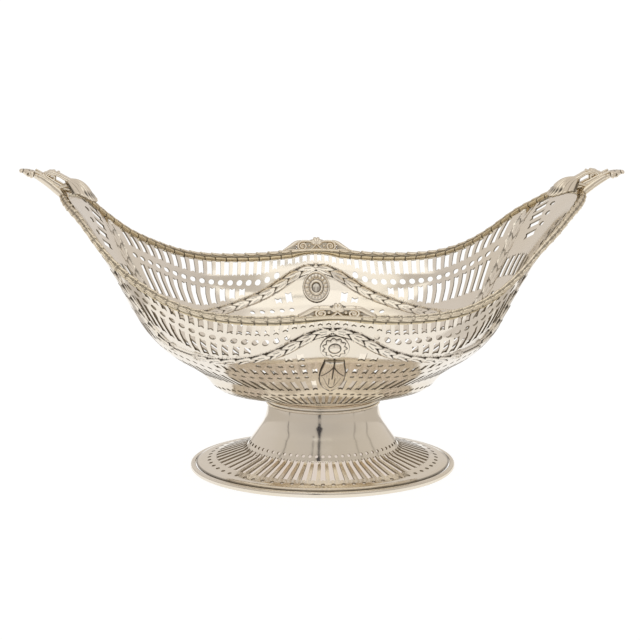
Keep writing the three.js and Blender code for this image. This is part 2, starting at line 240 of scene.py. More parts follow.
GARLAND_SHARES, GARLAND_CLIMBS = spline(GARLAND, 900).T
GARLAND_POINTS = bowl_at(GARLAND_SHARES, GARLAND_CLIMBS)
GARLAND_TANGENTS = unit(np.gradient(GARLAND_POINTS, axis=0))
GARLAND_LENGTHS = lengths_along(GARLAND_POINTS)
TIE_AT = float(np.interp(-TIE_SHARE, -GARLAND_SHARES, GARLAND_LENGTHS))
CLIMB_AT = float(np.interp(-CLIMB_SHARE, -GARLAND_SHARES, GARLAND_LENGTHS))


def climbing(along):
    """0 on the swag and 1 where the garland climbs to the rim."""
    return np.clip((along - CLIMB_AT) / CLIMB_SOFT, 0, 1)


def garland_breadth(along):
    return 1 + BROADER * climbing(along)


def nearest_on_garland(points):
    """Number of the garland's nearest point to each point, and the distance."""
    number = np.empty(len(points), int)
    gap = np.empty(len(points))
    for start in range(0, len(points), 4000):
        part = slice(start, start + 4000)
        gaps = np.linalg.norm(points[part, None, :] - GARLAND_POINTS[None], axis=-1)
        number[part] = gaps.argmin(axis=1)
        gap[part] = gaps.min(axis=1)
    return number, gap


def along_garland(points, normals):
    """Length along the garland and signed distance from its centre line, up being positive."""
    near, _ = nearest_on_garland(points)
    tangent = GARLAND_TANGENTS[near]
    offset = points - GARLAND_POINTS[near]
    across = unit(np.cross(normals, tangent))
    return GARLAND_LENGTHS[near] + (offset * tangent).sum(-1), (offset * across).sum(-1)


def leaf_pattern(along, aside):
    """Height 0 to 1 and ink 0 to 1 of pairs of leaves that overlap like tiles along a line."""
    height = np.zeros_like(along)
    ink = np.ones_like(along)
    first = np.floor(along / LEAF_LENGTH)
    y = np.abs(aside)
    for back in (1, 0, -1):
        x = along - (first + back) * LEAF_LENGTH
        turned_x = x * math.cos(LEAF_SPLAY) + y * math.sin(LEAF_SPLAY)
        turned_y = -x * math.sin(LEAF_SPLAY) + y * math.cos(LEAF_SPLAY) - 0.1 * LEAF_HALF
        reach = np.clip(turned_x / (1.22 * LEAF_LENGTH), 0, 1)
        width = LEAF_HALF * np.sin(math.pi * reach**0.9) ** 0.62 + 1e-6
        inside = (reach > 0) & (reach < 1) & (np.abs(turned_y) < width)
        # Leaf edges darken towards their tips: partly chased outline, partly painted shade between
        # overlapping leaves
        edge = stroke(width - np.abs(turned_y), 0.7, 1.3) * np.clip((reach - 0.42) / 0.15, 0, 1)
        vein = stroke(turned_y, 0.3, 1.2) * (reach > 0.28) * (reach < 0.6) * 0.9
        height = np.where(inside, dome(turned_y / width) * (0.45 + 0.55 * reach), height)
        ink = np.where(inside, np.maximum(edge, vein), ink)
    return height, ink


def tied(height, ink, from_tie, aside):
    """The garland's tie of four beads, with a ribbon that runs on from it."""
    ribbon = (from_tie > 1.5) & (from_tie < 17)
    height = np.where(ribbon, 0.75 * dome(aside / 1.5), height)
    ink = np.where(ribbon, stroke(np.abs(aside) - 1.45, 0.42, 1.2), ink)
    for x in (-TIE_BEAD, TIE_BEAD):
        for y in (-1.2, 1.2):
            gap = np.hypot(from_tie - x, aside - y)
            height = np.where(gap < TIE_BEAD, 1.35 * dome(gap / TIE_BEAD), height)
            ink = np.where(np.abs(from_tie) < 2.6, stroke(gap - TIE_BEAD, 0.4), ink)
    return height, ink


def bowl_relief(share, climb):
    """Millimetres that the sheet stands out, and ink 0 to 1, over a quarter of the bowl."""
    along, aside = along_garland(bowl_at(share, climb), face_normal(bowl_at, share, climb))
    aside = aside / garland_breadth(along)
    height, ink = tied(*leaf_pattern(along, aside), along - TIE_AT, aside)
    band = ridge(aside, 0, GARLAND_HALF + 0.3)
    relief = np.where(band > 0, GARLAND_RISE * (0.45 * np.sqrt(band) + 0.55 * height), 0)
    fade = np.clip(along / 0.5, 0, 1) * (1 - PALER * climbing(along))
    return relief, np.where(np.abs(aside) < GARLAND_HALF - 0.25, ink, 0) * fade


def swollen(share, climb):
    """The bowl's outer face with the garland standing out of it."""
    relief, _ = bowl_relief(share, climb)
    return bowl_at(share, climb) + face_normal(bowl_at, share, climb) * relief[:, None]


# Piercing of the bowl

ROWS_ABOVE = [
    # kind, columns all round, from climb, to climb, half width, notched foot, notched head
    ("slot", 128, 0.868, 0.984, 1.75, True, False),
    ("dot", 112, 0.822, 0.822, 2.1, False, False),
    ("slot", 104, 0.63, 0.786, 1.9, True, True),
]
ROWS_BELOW = [
    ("slot", 100, 0.658, 0.738, 1.9, True, True),
    ("dot", 100, 0.6, 0.6, 1.5, False, False),
    ("slot", 100, 0.492, 0.556, 1.35, True, True),
    ("dot", 100, 0.446, 0.446, 1.3, False, False),
    ("slot", 80, 0.262, 0.398, 1.35, True, True),
    ("dot", 80, 0.2, 0.2, 1.25, False, False),
    ("slot", 72, 0.06, 0.165, 1.0, False, False),
]
FISH_NOTCH = 1.1
HOLE_MARGIN = 1.1
LEAST_SLOT = 3.4
TIP_SHARE = 0.058
UPRIGHT = 0.062
UPRIGHT_FROM = 0.62
RISING_ROW = 0.055
RISE_FROM = 0.195
RISE_OVER = 0.022
PATERA_CLEAR = 12.2
PENDANT_CLEAR = 7.6
PENDANT_TOP = 0.57
PENDANT_FOOT = 0.25
TIP_SLOTS = [(0.0465, 0.968), (0.043, 0.93), (0.0385, 0.89), (0.033, 0.85), (0.0275, 0.806)]
TIP_SLOT_LONG = 5.2
TIP_SLOT_HALF = 2.1
TIP_SLOT_LEAN = 0.24
TIP_DOTS = [(0.0355, 0.972), (0.0275, 0.93), (0.0225, 0.888), (0.019, 0.845)]


def garland_span(share, half):
    """Lowest and highest climb that the garland covers in a column of this half width."""
    reach = np.abs(GARLAND_SHARES - share) * round_at(GARLAND_CLIMBS)
    near = reach < half + GARLAND_HALF * garland_breadth(GARLAND_LENGTHS)
    if not near.any():
        return None
    thick = (GARLAND_HALF + HOLE_MARGIN) / tall_at(share)
    return GARLAND_CLIMBS[near].min() - thick, GARLAND_CLIMBS[near].max() + thick


def garland_gap(share, climb):
    """Distance from a place on the bowl to the middle line of the garland."""
    across = (GARLAND_SHARES - share) * round_at(climb)
    along = (GARLAND_CLIMBS - climb) * tall_at(share)
    return float(np.hypot(across, along).min())


def slot_end(share, climb, half, inward, notched):
    """Corners of a slot's foot (inward 1) or head (inward -1): a swallow-tail notch or a round."""
    notch = FISH_NOTCH / tall_at(share)
    if notched:
        return [(share, climb + inward * notch)]
    corners = []
    for side in (-0.5 * inward, 0, 0.5 * inward):
        end = climb - inward * notch * 0.6 * math.sqrt(1 - side * side)
        corners.append(on_wall(share, end, side * half, 0))
    return corners


def slot_outline(share, low, high, half, foot, head):
    """Corners of a slot with straight sides, from its foot up the far side and down the near one."""
    parts = (0, 0.34, 0.67, 1)
    up = [on_wall(share, low + part * (high - low), half, 0) for part in parts]
    down = [on_wall(share, low + part * (high - low), -half, 0) for part in reversed(parts)]
    return slot_end(share, low, half, 1, foot) + up + slot_end(share, high, half, -1, head) + down


def dot_outline(share, climb, half_wide, half_tall, sides):
    turns = even_turns(sides)
    return [on_wall(share, climb, half_wide * math.cos(t), half_tall * math.sin(t)) for t in turns]


def leaned(corners):
    """Columns above the garland lean towards the middle of the side as they rise."""
    moved = []
    for share, climb in corners:
        lean = UPRIGHT * math.sin(math.pi * min(max(share, 0), QUARTER) / QUARTER)
        moved.append((share + lean * max(climb - UPRIGHT_FROM, 0), climb))
    return moved


def row_rise(share, climb):
    """Near the middle of a side the rows high above the garland climb to clear it."""
    return RISING_ROW * float(np.clip((share - RISE_FROM) / RISE_OVER, 0, 1)) * (climb > 0.8)


def behind_ornament(share, low, high):
    """True where the patera or its pendant covers a hole."""
    across = (QUARTER - share) * round_at((low + high) / 2)
    if low > PENDANT_TOP:
        return across < PATERA_CLEAR
    return across < PENDANT_CLEAR and high > PENDANT_FOOT


def holes_above(row):
    """Holes of a row between the garland and the rim."""
    kind, columns, row_low, row_high, half, foot, head = row
    holes = []
    for k in range(columns // 4):
        share = (k + 0.5) / columns
        low = row_low + row_rise(share, row_low)
        seen = leaned([(share, low)])[0][0]
        span = garland_span(seen, half)
        if span is None or seen < TIP_SHARE:
            continue
        start = max(low, span[1])
        if kind == "dot":
            if low > sum(span) / 2 and garland_gap(seen, low) > GARLAND_HALF + half + SEAM:
                holes.append(dot_outline(share, low, half, half, 12))
        elif (row_high - start) * tall_at(share) > LEAST_SLOT:
            holes.append(slot_outline(share, start, row_high, half, foot, head))
    return [leaned(hole) for hole in holes]


def holes_below(row):
    """Holes of a row between the garland and the base, or over the whole wall past the garland's end."""
    kind, columns, low, high, half, foot, head = row
    holes = []
    for k in range(columns // 4):
        share = (k + 0.5) / columns
        span = garland_span(share, half)
        stop = high if span is None else min(high, span[0])
        if behind_ornament(share, low, stop):
            continue
        if kind == "dot":
            if span is None or span[0] > low + half / tall_at(share):
                holes.append(dot_outline(share, low, half, half, 12))
        elif (stop - low) * tall_at(share) > LEAST_SLOT:
            holes.append(slot_outline(share, low, stop, half, foot, head))
    return holes


def tip_slot(share, climb):
    """A short swallow-tailed slot that leans."""
    long, half = TIP_SLOT_LONG, TIP_SLOT_HALF
    lower = [(-long, -half), (-0.3 * long, -half), (0.4 * long, -half), (long, -half)]
    outline = lower + [(0.82 * long, 0)] + [(x, half) for x, _ in reversed(lower)] + [(-0.82 * long, 0)]
    cos_l, sin_l = math.cos(TIP_SLOT_LEAN), math.sin(TIP_SLOT_LEAN)
    return [on_wall(share, climb, x * cos_l + y * sin_l, y * cos_l - x * sin_l) for x, y in outline]


def bowl_holes():
    holes = [hole for row in ROWS_ABOVE for hole in holes_above(row)]
    holes += [hole for row in ROWS_BELOW for hole in holes_below(row)]
    holes += [tip_slot(share, climb) for share, climb in TIP_SLOTS]
    return holes + [dot_outline(share, climb, 2.5, 1.6, 10) for share, climb in TIP_DOTS]


# Sheets: a flat quarter pattern with holes is cut into triangles, bent to its surface and given thickness


def lattice(nx, ny, top, stagger):
    """Even places over a quarter pattern, every other row a part of a step further."""
    x, y = np.meshgrid((np.arange(nx) + 0.5) / nx * QUARTER, (np.arange(ny) + 0.5) / ny * top, indexing="ij")
    shift = ((np.arange(ny) % 2) - 0.5) * stagger * QUARTER / nx
    return np.stack([(x + shift).ravel(), y.ravel()], -1)


def clear_of(points, holes, margins):
    """The points that lie outside every hole's box, widened by the margins."""
    keep = np.ones(len(points), bool)
    for hole in holes:
        outline = np.array(hole)
        inside = (points > outline.min(0) - margins) & (points < outline.max(0) + margins)
        keep &= ~inside.all(1)
    return points[keep]


def compact(count, faces):
    """Renumbers the points that the faces use."""
    used = np.unique(faces)
    number = np.full(count, -1)
    number[used] = np.arange(len(used))
    return used, number[faces]


def open_edges(faces):
    """Directed edges that belong to one face only."""
    corners = faces.shape[1]
    edges = np.vstack([faces[:, [k, (k + 1) % corners]] for k in range(corners)])
    keys = edges.min(1).astype(np.int64) * (faces.max() + 1) + edges.max(1)
    _, first, counts = np.unique(keys, return_index=True, return_counts=True)
    return edges[first[counts == 1]]


def cut_pattern(points, holes, top, scale, round_steps, up_steps):
    """Shares, heights and triangles of a flat quarter pattern without its holes."""
    across = np.linspace(0, QUARTER, round_steps)
    up = np.linspace(0, top, up_steps)
    border = [(x, 0.0) for x in across] + [(QUARTER, y) for y in up[1:]]
    border += [(x, top) for x in across[::-1][1:]] + [(0.0, y) for y in up[::-1][1:-1]]
    loops = []
    places = []
    for outline in [border, *holes]:
        loops.append(list(range(len(places), len(places) + len(outline))))
        places += outline
    edges = list(zip(loops[0], loops[0][1:] + loops[0][:1]))
    corners = [Vector((float(x) * scale[0], float(y) * scale[1])) for x, y in [*places, *points]]
    flat, _, faces, _, _, origin = delaunay_2d_cdt(corners, edges, loops[1:], 0, 1e-7, True)
    kept = np.array([face for face, holes_of in zip(faces, origin) if not holes_of], dtype=np.int64)
    used, kept = compact(len(flat), kept)
    flat = np.array([tuple(place) for place in flat])[used] / scale
    return np.clip(flat[:, 0], 0, QUARTER), np.clip(flat[:, 1], 0, top), kept


def four_quarters(outer, inner, normals, ink, faces):
    """A sheet from its quarter, mirrored, with the points that the quarters share merged."""
    parts = []
    for k, (mirror_x, mirror_y) in enumerate(((1, 1), (-1, 1), (-1, -1), (1, -1))):
        sign = (mirror_x, mirror_y, 1)
        turned = faces if mirror_x * mirror_y > 0 else faces[:, ::-1]
        parts.append((outer * sign, inner * sign, normals * sign, ink, turned + k * len(outer)))
    outer, inner, normals, ink, faces = (np.concatenate(part) for part in zip(*parts))
    key = np.round(outer * 2000).astype(np.int64)
    _, first, number = np.unique(key, axis=0, return_index=True, return_inverse=True)
    number = number.ravel()
    summed = np.zeros((len(first), 3))
    np.add.at(summed, number, normals)
    return outer[first], inner[first], unit(summed), ink[first], number[faces]


# The real basket was bent a little by hand: its right end rises earlier and is drawn in, its left end sags
END_LIFT = 2.6
RIGHT_LIFT = 4.2
LEFT_SAG = 1.8
RIGHT_PULL = 3.8


def hand_bent(points):
    """Points of the symmetrical basket, moved to where the real one has them."""
    points = np.array(points, float)
    x, z = points[:, 0].copy(), points[:, 2].copy()
    lift = END_LIFT * bump(np.abs(x), 140, 8) + RIGHT_LIFT * bump(x, 124, 15) - LEFT_SAG * bump(x, -114, 14)
    points[:, 2] += lift * np.clip((z - 90) / 45, 0, 1)
    points[:, 0] -= RIGHT_PULL * np.clip((x - 60) / 45, 0, 1) * bump(z, 114, 32)
    return points


def make_object(name, points, polygons, material, ink=None, gilt=None, corner_normals=None, cut_from=None):
    """A smooth mesh object. Polygons from cut_from on are the walls that the piercing saw left, in a dark
    silver that paints their shade.
    """
    mesh = bpy.data.meshes.new(name)
    sizes = np.array([len(polygon) for polygon in polygons])
    mesh.vertices.add(len(points))
    mesh.vertices.foreach_set("co", (hand_bent(points) * MM).ravel())
    mesh.loops.add(int(sizes.sum()))
    mesh.loops.foreach_set("vertex_index", np.concatenate(polygons).astype(np.int32))
    mesh.polygons.add(len(sizes))
    mesh.polygons.foreach_set("loop_start", (np.cumsum(sizes) - sizes).astype(np.int32))
    mesh.update(calc_edges=True)
    mesh.polygons.foreach_set("use_smooth", np.full(len(sizes), True))
    for word, values in (("ink", ink), ("gilt", gilt)):
        if values is not None:
            layer = mesh.attributes.new(word, "FLOAT", "POINT")
            layer.data.foreach_set("value", np.asarray(values, np.float32))
    mesh.materials.append(material)
    if cut_from is not None:
        mesh.materials.append(CUT_WALL_SHADE_SILVER)
        mesh.polygons.foreach_set("material_index", (np.arange(len(sizes)) >= cut_from).astype(np.int32))
    if corner_normals is not None:
        mesh.normals_split_custom_set(corner_normals.tolist())
    obj = bpy.data.objects.new(name, mesh)
    bpy.context.scene.collection.objects.link(obj)
    return obj


INNER_INK = 0.72


def thick_sheet(name, outer, inner, normals, ink, faces, material):
    """Two skins from one set of triangles, joined by walls round every open edge."""
    count = len(outer)
    a, b = open_edges(faces).T
    walls = np.concatenate([np.stack([b, a, a + count], -1), np.stack([b, a + count, b + count], -1)])
    points = np.vstack([outer, inner])
    tri = points[walls]
    flat = unit(np.cross(tri[:, 1] - tri[:, 0], tri[:, 2] - tri[:, 0]))
    corners = np.concatenate([normals[faces], -normals[faces[:, ::-1]], np.repeat(flat[:, None], 3, axis=1)])
    polygons = np.concatenate([faces, faces[:, ::-1] + count, walls])
    both_ink = np.concatenate([ink, INNER_INK * ink])
    corners = corners.reshape(-1, 3)
    return make_object(name, points, polygons, material, both_ink, None, corners, 2 * len(faces))


# The flat pattern of a quarter of the bowl is this wide and tall, with points this far apart
PATTERN_WIDE = 180.0
PATTERN_TALL = 112.0
COARSE = 1.7
FINE = 0.5


def quarter_points(holes):
    """Places on a quarter of the bowl, clear of its holes: fine on the garland and coarse elsewhere."""
    widest = GARLAND_HALF * (1 + BROADER)
    chosen = []
    for step in (COARSE, FINE):
        places = lattice(int(PATTERN_WIDE / step), int(PATTERN_TALL / step), 1.0, 0.5)
        _, gap = nearest_on_garland(bowl_at(places[:, 0], places[:, 1]))
        chosen.append(places[gap > widest + 0.6] if step == COARSE else places[gap < widest + 0.3])
    return clear_of(np.vstack(chosen), holes, (0.0004, 0.002))


def make_bowl():
    holes = bowl_holes()
    scale = (PATTERN_WIDE / QUARTER, PATTERN_TALL)
    share, climb, faces = cut_pattern(quarter_points(holes), holes, 1.0, scale, 140, 70)
    relief, ink = bowl_relief(share, climb)
    plain = face_normal(bowl_at, share, climb)
    outer = bowl_at(share, climb) + plain * relief[:, None]
    normals = face_normal(swollen, share, climb, 2e-4, 2e-4)
    outer, inner, normals, ink, faces = four_quarters(outer, outer - plain * SHEET, normals, ink, faces)
    # The floor closes both skins
    floor = [(b, a, len(outer)) for a, b in open_edges(faces) if outer[[a, b], 2].max() < BASE_Z + 0.02]
    outer = np.vstack([outer, [0, 0, BASE_Z]])
    inner = np.vstack([inner, [0, 0, BASE_Z + SHEET]])
    normals = np.vstack([normals, [0, 0, -1]])
    faces = np.vstack([faces, floor])
    return thick_sheet("pierced_bowl", outer, inner, normals, np.append(ink, 0), faces, BOWL_SILVER)


# Foot: a run is a length inwards and up from the flange's edge

FOOT_X = 78.6
FOOT_NARROW = 0.792
WIRE_WIDE = 3.0
WIRE_TALL = 3.4
STEM_TALL = 39.0
STEM_X = 32.6
SKIRT_X = 48.5
SKIRT_RISE = 11.8
SLOT_MARGIN = 8.6
FLANGE_RISE = 2.0
FOOT_SHEET = 1.1
FLANGE_X = FOOT_X - WIRE_WIDE - SEAM
FLANGE_Z = WIRE_TALL + SEAM
STEM_SHARES = [(1, 0), (0.818, 0.048), (0.68, 0.17), (0.38, 0.42), (0.126, 0.665), (0, 1)]
FOOT_COLUMNS = 64
FOOT_SLOT_HALF = 1.55
FOOT_SLOT_FROM = 12.0
FOOT_SLOT_TO = 32.6
FOOT_SLOT_NOTCH = 0.9
FOOT_DOTS = ((8.0, 1.25), (35.2, 1.0))
FOOT_PATTERN_WIDE = 90
FOOT_STEP = 1.1
OVAL_ROUND = 5.652
OVAL_STEPS = 240


def foot_profile():
    """Half length and height from the wire inwards and up."""
    knots = [
        (FLANGE_X, FLANGE_Z), (FLANGE_X - SLOT_MARGIN / 3, FLANGE_Z + FLANGE_RISE / 2),
        (FLANGE_X - SLOT_MARGIN, FLANGE_Z + FLANGE_RISE),
    ]
    for out, up in STEM_SHARES:
        knots.append((STEM_X + (SKIRT_X - STEM_X) * out, SKIRT_RISE + (STEM_TALL - SKIRT_RISE) * up))
    return spline(knots, 400)


def oval_at(angle):
    return np.stack([np.cos(angle), FOOT_NARROW * np.sin(angle)], -1)


FOOT_LENGTHS, FOOT_HEIGHTS = foot_profile().T
FOOT_RUN = lengths_along(foot_profile())
OVAL_ANGLES = angle_table(oval_at, 2881)


def foot_at(share, run):
    """The foot's outer face."""
    angle = np.interp(share - np.floor(share), *OVAL_ANGLES)
    long = np.interp(run, FOOT_RUN, FOOT_LENGTHS)
    height = np.interp(run, FOOT_RUN, FOOT_HEIGHTS)
    return np.stack([long * np.cos(angle), FOOT_NARROW * long * np.sin(angle), height], -1)


def on_foot(share, run, x):
    """Share and run of the place that lies x further round."""
    return share + x / (OVAL_ROUND * float(np.interp(run, FOOT_RUN, FOOT_LENGTHS))), run


def foot_slot(share):
    """A notched slot that narrows up the skirt."""
    runs = np.linspace(FOOT_SLOT_FROM, FOOT_SLOT_TO, 7)
    halves = FOOT_SLOT_HALF * np.linspace(1.0, 0.72, 7)
    up = [on_foot(share, run, half) for half, run in zip(halves, runs)]
    down = [on_foot(share, run, -half) for half, run in zip(halves[::-1], runs[::-1])]
    return up + [(share, FOOT_SLOT_TO - FOOT_SLOT_NOTCH)] + down + [(share, FOOT_SLOT_FROM + FOOT_SLOT_NOTCH)]


def foot_dot(share, run, radius):
    turns = even_turns(10)
    return [(on_foot(share, run, radius * math.cos(t))[0], run + radius * math.sin(t)) for t in turns]


def make_foot():
    holes = []
    for k in range(FOOT_COLUMNS // 4):
        share = (k + 0.5) / FOOT_COLUMNS
        holes.append(foot_slot(share))
        holes += [foot_dot(share, run, radius) for run, radius in FOOT_DOTS]
    tall = FOOT_RUN[-1]
    points = clear_of(lattice(70, int(tall / FOOT_STEP), tall, 0), holes, (0.0006, 0.15))
    share, run, faces = cut_pattern(points, holes, tall, (FOOT_PATTERN_WIDE / QUARTER, 1.0), 100, 60)
    outer = foot_at(share, run)
    normals = face_normal(foot_at, share, run, 1e-4, 1e-3, tall)
    ink = stroke(outer[:, 2] - FLANGE_Z, 0.4, 1.2, 0.55)
    sheet = four_quarters(outer, outer - normals * FOOT_SHEET, normals, ink, faces)
    return thick_sheet("pierced_foot", *sheet, FOOT_SILVER)


# Wire and collar round the oval


def tube_quads(count, sides, joined):
    """Quads of a tube through rings of points, whose last ring may be joined to the first."""
    i, j = np.meshgrid(np.arange(count if joined else count - 1), np.arange(sides), indexing="ij")
    n = (i + 1) % count
    k = (j + 1) % sides
    return np.stack([i * sides + j, n * sides + j, n * sides + k, i * sides + k], -1).reshape(-1, 4)


def oval_sweep(name, profile, ink=None):
    """A closed section of half length and height, swept round the oval. ink is 0 to 1 at its corners."""
    angles = (np.arange(OVAL_STEPS) * TURN / OVAL_STEPS)[:, None]
    long, height = profile.T
    x, y = long * np.cos(angles), FOOT_NARROW * long * np.sin(angles)
    rings = np.stack(np.broadcast_arrays(x, y, height), -1)
    shade = None if ink is None else np.tile(ink, OVAL_STEPS)
    quads = tube_quads(OVAL_STEPS, len(profile), True)
    obj = make_object(name, rings.reshape(-1, 3), quads, WIRE_SILVER, shade)
    smooth_by_angle(obj, 40)
    return obj


def smooth_by_angle(obj, degrees):
    """Edges sharper than this stay sharp."""
    mesh = obj.data
    normals = np.empty(len(mesh.polygons) * 3)
    mesh.polygons.foreach_get("normal", normals)
    normals = normals.reshape(-1, 3)
    pairs = {}
    for polygon in mesh.polygons:
        for key in polygon.edge_keys:
            pairs.setdefault(key, []).append(polygon.index)
    limit = math.cos(math.radians(degrees))
    sharp = np.zeros(len(mesh.edges), bool)
    for edge in mesh.edges:
        faces = pairs.get(tuple(sorted(edge.vertices)), [])
        sharp[edge.index] = len(faces) != 2 or normals[faces[0]] @ normals[faces[1]] < limit
    layer = mesh.attributes.get("sharp_edge") or mesh.attributes.new("sharp_edge", "BOOLEAN", "EDGE")
    layer.data.foreach_set("value", sharp)


def rounded(points, radius):
    """A closed outline with its corners rounded."""
    points = np.array(points, float)
    out = []
    for k, corner in enumerate(points):
        before = points[k - 1] - corner
        after = points[(k + 1) % len(points)] - corner
        reach = min(radius, np.linalg.norm(before) / 2.2, np.linalg.norm(after) / 2.2)
        a = corner + unit(before) * reach
        b = corner + unit(after) * reach
        for w in (0, 0.5, 1):
            out.append((1 - w) ** 2 * a + 2 * w * (1 - w) * corner + w**2 * b)
    return np.array(out)


def make_foot_wire():
    inner = FOOT_X - WIRE_WIDE
    profile = rounded([
        (inner, 0), (FOOT_X - 0.8, 0), (FOOT_X, 0.9), (FOOT_X, WIRE_TALL - 1.0),
        (FOOT_X - 0.7, WIRE_TALL - 0.2),
        (FOOT_X - 1.3, WIRE_TALL - 0.45), (FOOT_X - 1.9, WIRE_TALL), (inner + 0.5, WIRE_TALL),
        (inner, WIRE_TALL - 0.6),
    ], 0.45)
    return oval_sweep("foot_edge_wire", profile)


def make_stem_ring():
    low = STEM_TALL + SEAM
    high = low + 3.4
    outer = STEM_X + 1.2
    inner = outer - 3.2
    profile = rounded([
        (inner, low), (outer - 0.9, low), (outer - 0.1, low + 0.35), (outer, low + 0.9),
        (outer - 0.5, low + 1.35),
        (outer - 1.25, low + 1.55), (outer - 1.25, low + 1.95), (outer - 0.5, low + 2.1),
        (outer - 0.3, low + 2.6),
        (outer - 0.7, high - 0.15), (outer - 1.3, high), (inner, high),
    ], 0.35)
    ink = stroke(profile[:, 1] - low - 1.75, 0.4, 1.3, 0.42) * (profile[:, 0] > inner + 0.5)
    return oval_sweep("stem_collar", profile, ink)


# Border along the rim: laurel on top of a plain gilt band that clasps the sheet's edge

ARM_INSET = 3.0
CREST_HALF = 14.5
BORDER_PERIOD = 7.0
LAUREL_CORE = 1.3
BAND_HALF_SECTION = [(-1.45, -0.95), (-1.9, -1.2), (-2.05, -1.65), (-1.8, -2.1), (-1.35, -2.3), (-1.2, -2.7)]
# Ink at the band's section points is painted shade: under the laurel and on the band's underside
BAND_HALF_SHADE = [0.6, 0.15, 0, 0, 0.45, 0.3]


def rim_frames(angles):
    """Middle of the sheet's edge, the way it climbs and the way it faces, at angles round the rim."""
    step = 1e-3
    shares = np.interp(np.mod(angles, TURN), RIM_ANGLES[1], RIM_ANGLES[0])
    edge = bowl_at(shares, 1.0)
    climb = unit(edge - bowl_at(shares, 0.985))
    facing = unit(np.cross(unit(rim_at(angles + step) - rim_at(angles - step)), climb))
    return edge - facing * SHEET / 2, climb, facing


def even_angles(start, stop, step):
    """Angles a fixed length apart along a stretch of the rim, and its length."""
    angles = np.linspace(start, stop, 1500)
    lengths = lengths_along(rim_at(angles))
    count = max(2, round(lengths[-1] / step))
    return np.interp(np.linspace(0, lengths[-1], count + 1), lengths, angles), lengths[-1]


def laurel_radius(along, turn):
    """Radius and ink of the laurel: rows of leaves, tied by two beads at every period."""
    x = np.mod(along, BORDER_PERIOD)
    reach = np.clip((x - 1.0) / (BORDER_PERIOD - 1.0), 0, 1)
    leaf = np.sin(math.pi * reach**0.8) ** 0.65 * (reach > 0) * (reach < 1)
    radius = np.full(np.broadcast(along, turn).shape, LAUREL_CORE)
    # The core between the leaves is painted half dark, as the shade between them
    ink = np.full_like(radius, 0.5)
    for middle in (2.5, 42, 138, 177.5):
        share = np.abs(turn - math.radians(middle)) / math.radians(34) / np.maximum(leaf, 1e-3)
        lifted = np.maximum(radius, LAUREL_CORE + 0.85 * dome(share) * (0.5 + 0.5 * reach))
        radius = np.where(share < 1, lifted, radius)
        ink = np.where(share < 1, stroke(1 - share, 0.14, 1.0, 0.8) * (reach > 0.45), ink)
    from_tie = np.minimum(x, BORDER_PERIOD - x)
    for middle in (58, 122):
        bead = np.hypot(from_tie, (turn - math.radians(middle)) * 2.0)
        radius = np.where(bead < 0.95, 1.55 + 0.75 * dome(bead / 0.95), radius)
        ink = np.where(bead < 0.8, 0, ink)
    return radius, ink


def border_part(angles, along, depth=1.0):
    """A stretch of border as points, polygons, ink and gilt. depth shortens the band."""
    middle, climb, facing = rim_frames(angles)
    turns = np.radians(np.linspace(-34, 214, 33))
    radius, ink = laurel_radius(along[:, None], turns[None, :])
    wave = np.abs(np.sin(math.pi * along / BORDER_PERIOD))[:, None]
    section = np.array(BAND_HALF_SECTION)
    across = np.concatenate([section[:, 0], -section[::-1, 0]])
    down = np.concatenate([section[:, 1], section[::-1, 1]])
    rows = np.ones((len(angles), 1))
    out = np.hstack([radius * np.cos(turns), across * (0.88 + 0.14 * wave)])
    rise = np.hstack([SEAM + 0.75 + radius * np.sin(turns), rows * down * np.reshape(depth, (-1, 1))])
    band_ink = np.array(BAND_HALF_SHADE + BAND_HALF_SHADE[::-1])
    ink = np.hstack([ink, np.maximum(rows * band_ink, 0.85 * stroke(wave, 0.22, 1.25))])
    gilt = np.hstack([np.full(radius.shape, 0.2), rows * np.full(len(down), 0.6)])
    rings = middle[:, None] + facing[:, None] * out[..., None] + climb[:, None] * rise[..., None]
    return *skin(rings), ink.ravel(), gilt.ravel()


def make_border(name, start, stop):
    angles, length = even_angles(start, stop, 0.4)
    periods = round(length / BORDER_PERIOD)
    points, polygons, ink, gilt = border_part(angles, np.linspace(0, periods * BORDER_PERIOD, len(angles)))
    return make_object(name, points, polygons, CAST_SILVER, ink, gilt)


# Castings are gathered as lists of (points, polygons, ink) and joined into one object

ACROSS = np.array([0.0, 1.0, 0.0])


def skin(rings):
    """Points and polygons of a tube through rings, closed by flat ends."""
    count, sides = rings.shape[:2]
    polygons = [tuple(quad) for quad in tube_quads(count, sides, False)]
    last = count * sides - 1
    return rings.reshape(-1, 3), polygons + [tuple(range(sides)), tuple(range(last, last - sides, -1))]


def upright(line, y=0.0):
    """A line of x and z, laid in a plane at y."""
    return np.stack([line[:, 0], np.full(len(line), float(y)), line[:, 1]], -1)


def by_ring(values):
    """Values for each ring, ready to spread over its corners."""
    return values[:, None] if np.ndim(values) == 1 else values


def swept(path, half_in, half_side, side=ACROSS, sides=14, squareness=2.0, ink=0.0):
    """A bar along a path. half_side reaches along the side vector, half_in across it and the path."""
    along = unit(np.gradient(path, axis=0))
    across = unit(np.cross(along, side))
    turns = np.arange(sides) * TURN / sides
    power = 2 / squareness
    a = by_ring(half_in) * np.sign(np.cos(turns)) * np.abs(np.cos(turns)) ** power
    b = by_ring(half_side) * np.sign(np.sin(turns)) * np.abs(np.sin(turns)) ** power
    rings = path[:, None] + across[:, None] * a[..., None] + side * b[..., None]
    return *skin(rings), np.broadcast_to(ink, rings.shape[:2]).ravel()


def ball(centre, radii, ink=0.0):
    """A bead or boss with its own three radii."""
    steps = np.linspace(0.06, math.pi - 0.06, 9)[:, None]
    turns = np.arange(12) * TURN / 12
    round_ = np.stack(np.broadcast_arrays(
        np.cos(steps), np.sin(steps) * np.cos(turns), np.sin(steps) * np.sin(turns)
    ), -1)
    points, polygons = skin(round_ * radii + np.array(centre, float))
    return points, [polygon[::-1] for polygon in polygons], np.full(len(points), ink)


